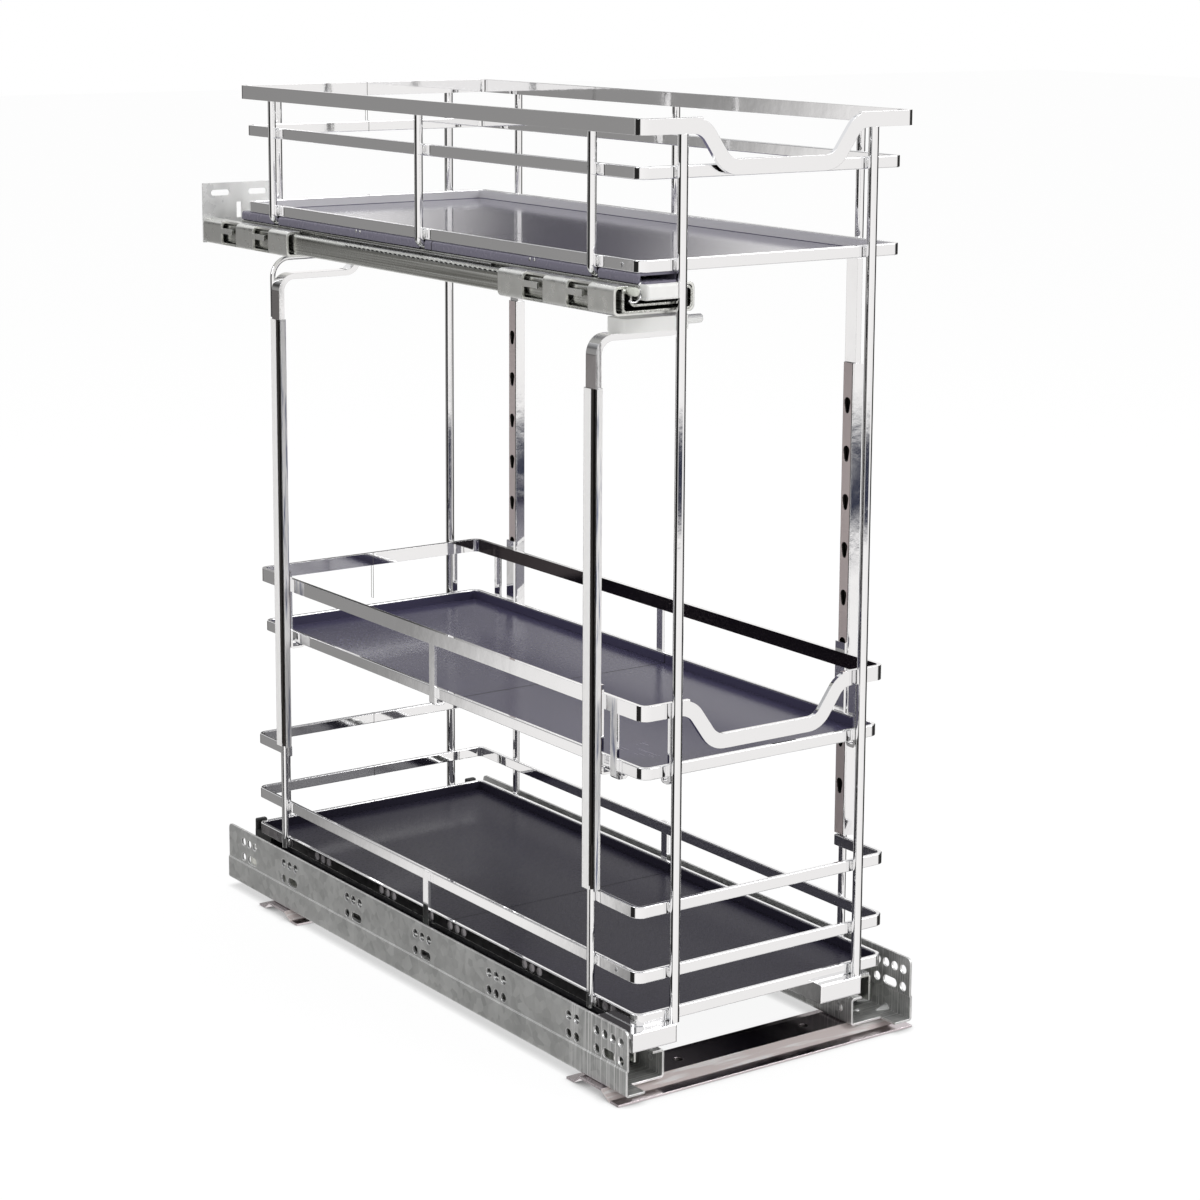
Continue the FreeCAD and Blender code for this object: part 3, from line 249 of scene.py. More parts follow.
# The two cabinet rails are screwed to the cabinet's sides, and rivets join them to the strips under
# them. They are folded from hot-dip galvanised sheet with a dull spangle and paler streaks towards
# the front, and a painted highlight runs along their edges.
beyond = 1.0
spangle_scale = 160.0
cloud_scale = 35.0
cloud_share = 0.6
dark_spangle = (0.32, 0.325, 0.32, 1.0)
pale_spangle = (0.78, 0.785, 0.77, 1.0)
pale_front_end = -0.215
edge_highlight_reach = 0.0011


def effect_group(name, inputs, outputs):
    """A new shader effect with named inputs and number outputs, and its way in and out."""
    group = bpy.data.node_groups.new(name, "ShaderNodeTree")
    for title, setting in inputs.items():
        kind = "NodeSocketFloat" if isinstance(setting, float) else "NodeSocketVector"
        socket = group.interface.new_socket(name=title, in_out="INPUT", socket_type=kind)
        socket.default_value = setting
    for title in outputs:
        group.interface.new_socket(name=title, in_out="OUTPUT", socket_type="NodeSocketFloat")
    given = group.nodes.new("NodeGroupInput").outputs
    made = group.nodes.new("NodeGroupOutput").inputs
    return group, given, made


def effect(tree, group, settings):
    """The outputs of a shared effect, placed in a material with the material's own values."""
    node = tree.nodes.new("ShaderNodeGroup")
    node.node_tree = group
    for title, setting in settings.items():
        node.inputs[title].default_value = setting
    return node.outputs


def own_place(tree):
    """Where a point lies on the part, in the part's own coordinates."""
    return tree.nodes.new("ShaderNodeTexCoord").outputs["Object"]


def parted(tree, vector):
    """The X, Y and Z of a vector."""
    split = tree.nodes.new("ShaderNodeSeparateXYZ")
    tree.links.new(vector, split.inputs[0])
    return split.outputs


def grain_noise(tree, place, scale, detail):
    """Soft random values that change from place to place."""
    noise = tree.nodes.new("ShaderNodeTexNoise")
    for title, setting in {"Vector": place, "Scale": scale, "Detail": detail}.items():
        feed(tree, noise.inputs[title], setting)
    return noise.outputs["Fac"]


ripple, given, made = effect_group(
    "metal_ripple", {"Grain": 60.0, "Low": 0.05, "High": 0.12}, ("Roughness", "Height"))
haze = grain_noise(ripple, own_place(ripple), scale=given["Grain"], detail=4.0)
wander = rise(ripple, haze, start=0.3, end=0.7, low=given["Low"], high=given["High"])
ripple.links.new(wander, made["Roughness"])
ripple.links.new(haze, made["Height"])

streaks, given, made = effect_group(
    "streaks", {"Stretch": (1.0, 1.0, 1.0), "Low": 0.5, "High": 0.6}, ("Mask",))
stretched = streaks.nodes.new("ShaderNodeVectorMath")
stretched.operation = "MULTIPLY"
streaks.links.new(own_place(streaks), stretched.inputs[0])
streaks.links.new(given["Stretch"], stretched.inputs[1])
lines = grain_noise(streaks, stretched.outputs[0], scale=1.0, detail=3.0)
streaks.links.new(rise(streaks, lines, start=given["Low"], end=given["High"]), made["Mask"])

box, given, made = effect_group(
    "inside_box", {"Middle": (0.0, 0.0, 0.0), "Half Size": (1.0, 1.0, 1.0), "Both Sides": 1.0},
    ("Mask",))
point = parted(box, own_place(box))
mirrored = reckon(box, "SUBTRACT", reckon(box, "ABSOLUTE", point["X"]), point["X"])
sideways = reckon(box, "MULTIPLY_ADD", mirrored, given["Both Sides"], point["X"])
centre = parted(box, given["Middle"])
half = parted(box, given["Half Size"])
within = [reckon(box, "COMPARE", value, centre[axis], half[axis])
          for value, axis in ((sideways, "X"), (point["Y"], "Y"), (point["Z"], "Z"))]
flat = reckon(box, "MULTIPLY", within[0], within[1])
box.links.new(reckon(box, "MULTIPLY", flat, within[2]), made["Mask"])


def streaked(tree, stretch, low, high):
    """A mask of fine streaks, drawn out along the axes whose stretch is small."""
    return effect(tree, streaks, {"Stretch": stretch, "Low": low, "High": high})["Mask"]


def inside_box(tree, low, high, both_sides=True):
    """A mask of what lies inside a box, in the part's coordinates or mirrored in X as well."""
    centre = [(one + other) / 2.0 for one, other in zip(low, high)]
    half = [(other - one) / 2.0 for one, other in zip(low, high)]
    settings = {"Middle": centre, "Half Size": half, "Both Sides": float(both_sides)}
    return effect(tree, box, settings)["Mask"]


def coated(name, color, roughness, grain, bump=0.0, distance=0.0):
    """A material with a wandering roughness and, with a bump, a finely uneven surface."""
    material = bpy.data.materials.new(name)
    material.use_nodes = True
    tree = material.node_tree
    shader = tree.nodes["Principled BSDF"]
    shader.inputs["Base Color"].default_value = (*color, 1.0)
    wander = effect(tree, ripple, {"Grain": grain, "Low": roughness[0], "High": roughness[1]})
    tree.links.new(wander["Roughness"], shader.inputs["Roughness"])
    if bump:
        relief = tree.nodes.new("ShaderNodeBump")
        relief.inputs["Strength"].default_value = bump
        relief.inputs["Distance"].default_value = distance
        tree.links.new(wander["Height"], relief.inputs["Height"])
        tree.links.new(relief.outputs["Normal"], shader.inputs["Normal"])
    return material


def metal(name, color, roughness, grain, bump, distance=0.0004, edge=0.0006):
    """A coated metal, with its edges broken by a small radius."""
    material = coated(name, color, roughness, grain, bump, distance)
    tree = material.node_tree
    shader = tree.nodes["Principled BSDF"]
    shader.inputs["Metallic"].default_value = 1.0
    if edge:
        broken_edge = tree.nodes.new("ShaderNodeBevel")
        broken_edge.samples = 4
        broken_edge.inputs["Radius"].default_value = edge
        relief = shader.inputs["Normal"].links[0].from_node
        tree.links.new(broken_edge.outputs["Normal"], relief.inputs["Normal"])
    return material


def present(socket):
    """What an input gets so far: another node's output, or its plain value."""
    return socket.links[0].from_socket if socket.links else socket.default_value


def painted(material, mask, tone, roughness, bare=True):
    """Change a material's colour and roughness where a mask says so; bare keeps metal metallic."""
    tree = material.node_tree
    shader = tree.nodes["Principled BSDF"]
    color = shader.inputs["Base Color"]
    tree.links.new(mixed(tree, mask, present(color), (*tone, 1.0)), color)
    gloss = shader.inputs["Roughness"]
    tree.links.new(mixed(tree, mask, present(gloss), roughness, "FLOAT"), gloss)
    if not bare:
        metallic = shader.inputs["Metallic"]
        uncovered = reckon(tree, "SUBTRACT", 1.0, mask)
        tree.links.new(reckon(tree, "MULTIPLY", present(metallic), uncovered), metallic)


def dress(material, *names):
    """Give carried-over nodes a material."""
    for name in names:
        mesh = nodes[name].data
        mesh.materials.clear()
        mesh.materials.append(material)


galvanised = metal("galvanised_sheet", (0.5, 0.5, 0.5), (0.30, 0.55), grain=220.0, bump=0.2)
tree = galvanised.node_tree
shader = tree.nodes["Principled BSDF"]
shader.inputs["Metallic"].default_value = 0.75
spangle = tree.nodes.new("ShaderNodeTexVoronoi")
spangle.inputs["Scale"].default_value = spangle_scale
tree.links.new(own_place(tree), spangle.inputs["Vector"])
clouds = grain_noise(tree, own_place(tree), scale=cloud_scale, detail=6.0)
flecks = mixed(tree, cloud_share, spangle.outputs["Color"], clouds, "FLOAT")
tree.links.new(mixed(tree, flecks, dark_spangle, pale_spangle), shader.inputs["Base Color"])
# Paler streaks over the front part of each rail.
front_stretch = inside_box(tree, (0.0, -beyond, 0.0), (beyond, pale_front_end, beyond))
front_streak_lines = streaked(tree, stretch=(1.0, 700.0, 9.0), low=0.50, high=0.64)
pale_front_streaks = reckon(tree, "MULTIPLY", front_stretch, front_streak_lines)
painted(galvanised, pale_front_streaks, (0.86, 0.86, 0.85), roughness=0.28)
# Painted highlight: near white wherever the rounded normal leans away from the face, which is along
# the edges.
rounded = tree.nodes.new("ShaderNodeBevel")
rounded.samples = 6
rounded.inputs["Radius"].default_value = edge_highlight_reach
true_face = tree.nodes.new("ShaderNodeNewGeometry")
likeness = tree.nodes.new("ShaderNodeVectorMath")
likeness.operation = "DOT_PRODUCT"
tree.links.new(rounded.outputs["Normal"], likeness.inputs[0])
tree.links.new(true_face.outputs["Normal"], likeness.inputs[1])
painted_edge_highlight = rise(tree, likeness.outputs["Value"], start=0.99, end=0.86)
painted(galvanised, painted_edge_highlight, (0.97, 0.97, 0.96), roughness=0.30)
dress(galvanised, "cabinet_rail_left", "cabinet_rail_right", "base_rivets")

# The two cross members are pressed from thinner, brighter strip and riveted under the rails. Their
# front slopes are painted a paler tone that is not metallic, with pale streaks.
foot_run = 0.010
slope_run = 0.009
bend_reach = 0.0008
top_clearance = 0.0001
for node in ("front_cross_member", "rear_cross_member"):
    strip_low, strip_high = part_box(node)
    slope_start = strip_low[1] + foot_run
    pressed = metal(node + "_strip", (0.66, 0.60, 0.62), (0.10, 0.26), grain=30.0, bump=0.2,
                    distance=0.0008)
    tree = pressed.node_tree
    slope_low = (-beyond, slope_start - bend_reach, 0.0)
    slope_high = (beyond, slope_start + slope_run, strip_high[2] - top_clearance)
    slope = inside_box(tree, slope_low, slope_high, both_sides=False)
    painted(pressed, slope, (0.70, 0.62, 0.605), roughness=0.35, bare=False)
    # Pale streaks over the front slope.
    slope_streak_lines = streaked(tree, stretch=(26.0, 260.0, 260.0), low=0.50, high=0.62)
    pale_slope_streaks = reckon(tree, "MULTIPLY", slope, slope_streak_lines)
    painted(pressed, pale_slope_streaks, (0.86, 0.83, 0.82), roughness=0.30)
    dress(pressed, node)

# Each cross member has two screw holes. Their edges are drawn down into short collars, dark all
# over as painted shade inside the holes.
hole_spacing = 0.1066
hole_setback = 0.03125
collar_outer = 0.00323
collar_inner = 0.00285
collar_length = 0.0050
collar_sink = 0.0004
collar_line = ((collar_outer, 0.0), (collar_outer, collar_length), (collar_inner, collar_length),
               (collar_inner, 0.0), (collar_outer, 0.0))


def lathe(shape, profile, place, steps):
    """Spin a line of (radius, height) points round the local Z axis of a place."""
    corners = [shape.verts.new(place @ Vector((radius, 0.0, height))) for radius, height in profile]
    line = [shape.edges.new(pair) for pair in zip(corners, corners[1:])]
    axis = place.to_3x3() @ Vector((0.0, 0.0, 1.0))
    bmesh.ops.spin(shape, geom=corners + line, cent=place.to_translation(), axis=axis,
                   angle=2.0 * math.pi, steps=steps, use_merge=True)


def new_piece(name, shape, material, body, rounded=True):
    """Close a shape's seams and let it ride on one body, with one of the part's finishes."""
    bmesh.ops.remove_doubles(shape, verts=shape.verts, dist=0.000001)
    bmesh.ops.recalc_face_normals(shape, faces=shape.faces)
    mesh = bpy.data.meshes.new(name)
    shape.to_mesh(mesh)
    shape.free()
    for face in mesh.polygons:
        face.use_smooth = rounded
    mesh.materials.append(material)
    piece = bpy.data.objects.new(name, mesh)
    scene.collection.objects.link(piece)
    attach(piece, body)


# Painted shade: the collars are near black, for the shade inside the holes.
hole_shade_metal = metal("hole_shade_collar", (0.06, 0.055, 0.055), (0.4, 0.6), grain=200.0, bump=0.2,
                     edge=0.0)
collars = bmesh.new()
for node in ("front_cross_member", "rear_cross_member"):
    strip_low, strip_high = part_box(node)
    collar_foot = strip_high[2] - collar_sink - collar_length
    for side in (-1.0, 1.0):
        spot = (side * hole_spacing / 2.0, strip_low[1] + hole_setback, collar_foot)
        lathe(collars, collar_line, Matrix.Translation(spot), steps=24)
new_piece("hole_shade_collars", collars, hole_shade_metal, "base")

# Three telescopic slides of zinc-plated strip: two stand on the cabinet rails, the third is clamped
# to the wall under the top basket. Rolling leaves fine lines along the members. Balls of bright
# steel run between them, and the plate at the wall is paler and smudged.
dark_zinc = (0.30, 0.30, 0.275, 1.0)
bright_zinc = (0.74, 0.75, 0.72, 1.0)
zinc = metal("zinc_plate", (0.80, 0.805, 0.775), (0.24, 0.38), grain=140.0, bump=0.15)
dress(zinc, "drawer_rail_left", "drawer_rail_right", "middle_rail_left", "middle_rail_right")
dress(zinc, "top_clamp_front", "top_clamp_rear")
rolled_zinc = metal("rolled_zinc", (0.7, 0.7, 0.68), (0.20, 0.32), grain=140.0, bump=0.12)
tree = rolled_zinc.node_tree
rolled_lines = streaked(tree, stretch=(900.0, 4.0, 900.0), low=0.35, high=0.65)
shader = tree.nodes["Principled BSDF"]
tree.links.new(mixed(tree, rolled_lines, dark_zinc, bright_zinc), shader.inputs["Base Color"])
dress(rolled_zinc, "top_slide_outer", "top_slide_middle", "top_slide_inner")
pale_zinc = metal("pale_zinc", (0.96, 0.96, 0.95), (0.26, 0.40), grain=140.0, bump=0.15)
pale_zinc.node_tree.nodes["Principled BSDF"].inputs["Metallic"].default_value = 0.15
smudges = streaked(pale_zinc.node_tree, stretch=(22.0, 22.0, 16.0), low=0.46, high=0.66)
painted(pale_zinc, smudges, (0.60, 0.60, 0.60), roughness=0.25)
dress(pale_zinc, "rear_wall_bracket")
bright_steel = metal("bright_steel", (0.70, 0.70, 0.71), (0.12, 0.22), grain=90.0, bump=0.1)
dress(bright_steel, *[name for name in nodes if "cage" in name])

# Ball windows. The wall of the top slide's fixed member is pierced along its upper edge. Dark lumps
# in it are the painted shade of the gaps between the balls, and show as a dotted line.
slide_low, slide_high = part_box("top_slide_outer")
window_pitch = 0.0060
window_length = 0.0042
window_half_height = 0.00045
window_half_depth = 0.00012
window_drop = 0.0016
window_setback = 0.13675
window_count = 34


def blob(shape, spot, half_size):
    """A rounded lump with three half sizes."""
    place = Matrix.Translation(spot) @ Matrix.Diagonal((*half_size, 1.0))
    bmesh.ops.create_uvsphere(shape, u_segments=12, v_segments=8, radius=1.0, matrix=place)


# Painted shade: near-black lumps for the gaps between the balls.
shadow = metal("ball_window_shade", (0.020, 0.020, 0.022), (0.35, 0.5), grain=200.0, bump=0.2, edge=0.0)
windows = bmesh.new()
for count in range(window_count):
    window_y = slide_low[1] + window_setback + count * window_pitch
    spot = (slide_low[0], window_y, slide_high[2] - window_drop)
    blob(windows, spot, (window_half_depth, window_length / 2.0, window_half_height))
new_piece("ball_window_shades", windows, shadow, "base")

# The front end of the top slide carries a pale moulded stop. Its rolled edge holds a small moulded
# roller, whose axis runs along the slide.
stop_low, stop_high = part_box("slide_bumper")
roller_inset = 0.0062
roller_drop = 0.0042
roller_depth = 0.0095
roller_line = ((0.0, 0.0), (0.0028, 0.0), (0.0028, 0.0070), (0.0024, 0.0078), (0.0010, 0.0080),
               (0.0002, 0.0076), (0.0, 0.0076))
roller_x = slide_low[0] + roller_inset
roller_z = stop_high[2] - roller_drop
to_front = Vector((0.0, -1.0, 0.0))


def moulding(name, color, roughness):
    """A plain moulded plastic with a fine texture."""
    return coated(name, color, (roughness, roughness + 0.12), grain=500.0)


def facing(spot, way):
    """A place whose local Z axis points a given way."""
    return Matrix.Translation(spot) @ way.to_track_quat("Z", "Y").to_matrix().to_4x4()


pale_moulding = moulding("pale_moulding", (0.92, 0.92, 0.90), 0.35)
dress(pale_moulding, "slide_bumper")
roller = bmesh.new()
roller_spot = (roller_x, stop_low[1] + roller_depth, roller_z)
lathe(roller, roller_line, facing(roller_spot, to_front), steps=24)
roller_plastic = moulding("roller_plastic", (0.62, 0.64, 0.57), 0.3)
new_piece("slide_roller", roller, roller_plastic, "carriage")

# A small hook of bent spring steel wire lies beside the roller. Its line is given as (sideways, up)
# from the roller's axis.
hook_line = ((0.0041, 0.0056), (0.0026, 0.0039), (0.0024, 0.0019), (0.0038, -0.0001),
             (0.0044, -0.0023), (0.0030, -0.0047), (0.0001, -0.0064), (-0.0026, -0.0063),
             (-0.0048, -0.0051))
hook_setback = 0.0030
hook_radius = 0.0006


def drawn_on(shape, ring):
    """Extrude a ring of edges on the spot; gives the new corners and the new ring."""
    drawn = bmesh.ops.extrude_edge_only(shape, edges=ring)["geom"]
    corners = [item for item in drawn if isinstance(item, bmesh.types.BMVert)]
    edges = [item for item in drawn if isinstance(item, bmesh.types.BMEdge)]
    return corners, [edge for edge in edges if all(corner in corners for corner in edge.verts)]


def wire(shape, points, radius, steps):
    """A round wire through a line of points, drawn on from ring to ring and closed at both ends."""
    places = []
    for index, point in enumerate(points):
        before = points[max(index - 1, 0)]
        after = points[min(index + 1, len(points) - 1)]
        places.append(facing(point, after - before))
    bmesh.ops.create_circle(shape, cap_ends=True, segments=steps, radius=radius, matrix=places[0])
    ring = list(shape.edges)
    for here, there in zip(places, places[1:]):
        corners, ring = drawn_on(shape, ring)
        bmesh.ops.transform(shape, verts=corners, matrix=there @ here.inverted())
    bmesh.ops.holes_fill(shape, edges=ring, sides=steps)


hook = bmesh.new()
hook_y = stop_low[1] + hook_setback
hook_points = [Vector((roller_x + x, hook_y, roller_z + z)) for x, z in hook_line]
wire(hook, hook_points, hook_radius, steps=8)
new_piece("slide_hook", hook, bright_steel, "carriage")

# The carriage stands on the slides: two pressed boxes in front, two black moulded seats behind, and
# round posts welded to the boxes and hoops. Chrome follows every ripple of the steel below, so its
# reflections wander a little, and handling leaves a faint haze.
chrome_tone = (0.90, 0.90, 0.905)
chrome_gloss = (0.02, 0.06)
chrome_edge = 0.00035
chrome = metal("chrome_plate", chrome_tone, chrome_gloss, grain=45.0, bump=0.12, edge=chrome_edge)
wire_chrome = metal("chrome_wire", chrome_tone, chrome_gloss, grain=45.0, bump=0.12, edge=0.0)
dress(chrome, "front_bracket_left", "front_bracket_right")
dress(wire_chrome, *[name for name in nodes if name.startswith("post_")])
dress(moulding("black_moulding", (0.012, 0.012, 0.013), 0.4), "rear_catch_left", "rear_catch_right")

# Four height standards are rolled from plated strip into channels with keyholes, and each wraps a
# carrier, a rod flattened into a bar. The inside of the channels is painted dark as painted shade.
# The lips that face outward are painted white as a painted highlight.
lip_sheet = 0.0012
face_skin = 0.00005
channel_half = 0.0042
channel_spread = 0.434
flank_skin = 0.0007
channel_gloss = (0.03, 0.08)
bar_edge = 0.0003
channel_shade_tone = (0.035, 0.030, 0.028)
painted_highlight_white = (0.93, 0.92, 0.91)
painted_glint_tone = (0.20, 0.22, 0.33)
web_reflection_tone = (0.58, 0.50, 0.485)
held_shade_tone = (0.05, 0.045, 0.042)
upper_bar_shade_tone = (0.42, 0.40, 0.40)
channel, given, made = effect_group(
    "channel",
    {"Middle Y": 0.0, "Depth Middle": 0.1, "Depth Half": 0.004, "Spread": 0.4, "Start": 0.0},
    ("Inside", "Left Outside"))
point = parted(channel, own_place(channel))
across = reckon(channel, "ABSOLUTE", point["X"])
in_depth = reckon(channel, "COMPARE", across, given["Depth Middle"], given["Depth Half"])
allowed = reckon(channel, "MULTIPLY_ADD", across, given["Spread"], given["Start"])
away = reckon(channel, "ABSOLUTE", reckon(channel, "SUBTRACT", point["Y"], given["Middle Y"]))
inside = reckon(channel, "MULTIPLY", in_depth, reckon(channel, "LESS_THAN", away, allowed))
outside = reckon(channel, "MULTIPLY", in_depth, reckon(channel, "GREATER_THAN", away, allowed))
on_left = reckon(channel, "LESS_THAN", point["X"], 0.0)
channel.links.new(inside, made["Inside"])
channel.links.new(reckon(channel, "MULTIPLY", outside, on_left), made["Left Outside"])


def channel_masks(tree, middle_y, x_low, x_high, half_width):
    """Masks of a channel that widens outward: its inside, and what lies next to it on the left."""
    settings = {
        "Middle Y": middle_y,
        "Depth Middle": (x_low + x_high) / 2.0,
        "Depth Half": (x_high - x_low) / 2.0,
        "Spread": channel_spread,
        "Start": half_width - channel_spread * x_low,
    }
    return effect(tree, channel, settings)


for end in ("front", "rear"):
    low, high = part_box("standard_" + end + "_right")
    bar_low, bar_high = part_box("carrier_" + end + "_right")
    middle_y = (bar_low[1] + bar_high[1]) / 2.0
    plated = metal("plated_channel_" + end, chrome_tone, channel_gloss, grain=60.0, bump=0.12,
                   edge=bar_edge)
    tree = plated.node_tree
    x_low = low[0] + lip_sheet - face_skin
    x_high = high[0] - lip_sheet + face_skin
    # Painted shade: the inside of each channel is near black.
    painted_channel_shade = channel_masks(tree, middle_y, x_low, x_high, channel_half)["Inside"]
    painted(plated, painted_channel_shade, channel_shade_tone, roughness=0.6)
    # Painted highlight: the outward lip is white and not metallic.
    lip_low = (high[0] - face_skin, low[1], low[2])
    lip_high = (high[0] + face_skin, high[1], high[2])
    painted(plated, inside_box(tree, lip_low, lip_high), painted_highlight_white, roughness=0.42, bare=False)
    # Painted highlight: the flank beside the opening on the left is white and not metallic.
    flank_half = channel_half + flank_skin
    flank = channel_masks(tree, middle_y, low[0], high[0] - face_skin, flank_half)["Left Outside"]
    painted(plated, flank, painted_highlight_white, roughness=0.30, bare=False)
    # Painted reflection: dark bluish streaks over the painted flank.
    painted_glint_lines = streaked(tree, stretch=(420.0, 420.0, 24.0), low=0.52, high=0.66)
    painted_glints = reckon(tree, "MULTIPLY", flank, painted_glint_lines)
    painted(plated, painted_glints, painted_glint_tone, roughness=0.30)
    # Painted reflection: the web is a grey-brown that is not metallic.
    web_low = (low[0] - face_skin, low[1], low[2])
    web_high = (low[0] + face_skin, high[1], high[2])
    painted(plated, inside_box(tree, web_low, web_high), web_reflection_tone, roughness=0.30, bare=False)
    dress(plated, "standard_" + end + "_left", "standard_" + end + "_right")
    bar = metal("plated_bar_" + end, chrome_tone, channel_gloss, grain=60.0, bump=0.12,
                edge=bar_edge)
    tree = bar.node_tree
    # Painted shade: the carriers are near black where the channels hold them.
    painted(bar, inside_box(tree, (0.0, low[1], low[2]), high), held_shade_tone, roughness=0.5)
    # Painted shade: the left carrier's left face above the standard is a darker grey.
    left_low, left_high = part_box("carrier_" + end + "_left")
    face_low = (left_low[0] - face_skin, left_low[1], high[2] + face_skin)
    face_high = (left_low[0] + face_skin, left_high[1], left_high[2])
    upper_face_shade = inside_box(tree, face_low, face_high, both_sides=False)
    painted(bar, upper_face_shade, upper_bar_shade_tone, roughness=0.12)
    dress(bar, "carrier_" + end + "_left", "carrier_" + end + "_right")

# A moulded block sits on the front left carrier's arm under the top slide, and a bent wire braces
# the rear left one.
dress(pale_moulding, "arm_block")
dress(wire_chrome, "rear_arm_brace")

# The bottom basket's hoops and straps are flat bars, bent, butted and chromed. The left face of its
# lowest hoop stands close behind the side plate and is painted dark, a painted reflection of the
# dark back of that plate.
corner_reach = 0.006
low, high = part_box("bottom_tray_rim")
rim_chrome = metal("bottom_rim_plate", chrome_tone, chrome_gloss, grain=45.0, bump=0.12,
                   edge=bar_edge)
face_low = (low[0] - face_skin, low[1] + corner_reach, low[2])
face_high = (low[0] + face_skin, high[1] - corner_reach, high[2])
# Painted reflection: the left face is dark grey.
painted_left_reflection = inside_box(rim_chrome.node_tree, face_low, face_high, both_sides=False)
painted(rim_chrome, painted_left_reflection, (0.20, 0.19, 0.20), roughness=0.06)
dress(rim_chrome, "bottom_tray_rim")
dress(chrome, "bottom_middle_rail", "bottom_front_rail", "bottom_rear_rail", "bottom_side_straps")

# The bottom tray is sheet steel with a dull grey-violet lacquer. It is pressed in two halves, like
# the trays above it, that meet in a fine seam across the middle.
seam_place = -0.0265
seam_half_width = 0.0005
seam_tone = (0.012, 0.011, 0.016)


def lacquer(name, color, shine, roughness):
    """Lacquer with a fine orange peel and the trays' seam."""
    material = coated(name, color, roughness, grain=400.0, bump=0.05, distance=0.0002)
    tree = material.node_tree
    tree.nodes["Principled BSDF"].inputs["Specular IOR Level"].default_value = shine
    seam_low = (0.0, seam_place - seam_half_width, 0.0)
    seam_high = (beyond, seam_place + seam_half_width, beyond)
    painted(material, inside_box(tree, seam_low, seam_high), seam_tone, roughness=0.6)
    return material


dress(lacquer("dull_lacquer", (0.034, 0.031, 0.050), 0.07, (0.24, 0.34)), "bottom_tray")

# A dark strip of lacquered sheet stands on each bottom drawer member and closes the gap up to the
# lowest tray, with a small foot turned outward. The strips are painted shade, for the dark gap
# under the tray.
rail_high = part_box("drawer_rail_left")[1]
tray_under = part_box("bottom_tray")[0][2]
strip_inset = 0.0006
strip_sheet = 0.0010
strip_foot = 0.0040
strip_front_gap = 0.0005
strip_rear_gap = 0.0120
strip_in = -rail_high[0] + strip_inset
strip_out = strip_in + strip_sheet
strip_end = strip_in + strip_foot
foot_top = rail_high[2] + strip_sheet
strip_outline = ((strip_in, rail_high[2]), (strip_in, tray_under), (strip_out, tray_under),
                 (strip_out, foot_top), (strip_end, foot_top), (strip_end, rail_high[2]))
strip_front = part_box("front_bracket_left")[1][1] + strip_front_gap
strip_length = rail_high[1] - strip_rear_gap - strip_front
strips = bmesh.new()
for side in (-1.0, 1.0):
    outline = [strips.verts.new((side * x, strip_front, z)) for x, z in strip_outline]
    section = strips.faces.new(outline)
    drawn = bmesh.ops.extrude_face_region(strips, geom=[section])["geom"]
    corners = [item for item in drawn if isinstance(item, bmesh.types.BMVert)]
    bmesh.ops.translate(strips, verts=corners, vec=(0.0, strip_length, 0.0))
# Painted shade: the strips are near black.
shade_strip_lacquer = lacquer("shade_strip_lacquer", (0.016, 0.015, 0.020), 0.30, (0.25, 0.35))
new_piece("rail_shade_strips", strips, shade_strip_lacquer, "carriage", rounded=False)

# The top basket has a glossier tray and round side wires. The tray's turned-up lip is painted pale
# as a painted highlight. A lacquered plate and zinc-plated screws join it to the top slide.
tray_floor = 0.0015
coat_weight = 0.7
coat_roughness = 0.12
dress(chrome, "top_rim", "top_middle_rail", "top_tray_rim")
dress(wire_chrome, "top_side_wires")
glossy_lacquer = lacquer("bright_lacquer", (0.068, 0.058, 0.125), 0.70, (0.09, 0.15))
shader = glossy_lacquer.node_tree.nodes["Principled BSDF"]
shader.inputs["Coat Weight"].default_value = coat_weight
shader.inputs["Coat Roughness"].default_value = coat_roughness
# Painted highlight: everything above the tray's floor is pale.
lip_low = (-beyond, -beyond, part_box("top_tray")[0][2] + tray_floor)
lip_highlight = inside_box(glossy_lacquer.node_tree, lip_low, (beyond, beyond, beyond), both_sides=False)
painted(glossy_lacquer, lip_highlight, (0.72, 0.71, 0.73), roughness=0.35)
dress(glossy_lacquer, "top_tray")
dress(lacquer("plate_lacquer", (0.190, 0.180, 0.235), 0.40, (0.20, 0.30)), "mounting_plate")
dress(zinc, "mounting_plate_screws")

# The middle basket hooks into the standards by wire hangers. The inner faces of its right bars are
# painted dark, a painted reflection of the dark side of the room; the outer ones keep their mirror.
bar_sheet = 0.003
for node in ("middle_rim", "middle_tray_rim"):
    low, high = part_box(node)
    shaded_bar = metal(node + "_plate", chrome_tone, chrome_gloss, grain=45.0, bump=0.12,
                       edge=bar_edge)
    inner_x = high[0] - bar_sheet
    inner_low = (inner_x - face_skin, low[1], low[2])
    inner_high = (inner_x + face_skin, high[1], high[2])
    # Painted reflection: the right bars' inner faces are near black.
    inner_face_reflection = inside_box(shaded_bar.node_tree, inner_low, inner_high, both_sides=False)
    painted(shaded_bar, inner_face_reflection, (0.045, 0.036, 0.039), roughness=0.12)
    dress(shaded_bar, node)
dress(chrome, "middle_straps")
dress(wire_chrome, "middle_hangers")

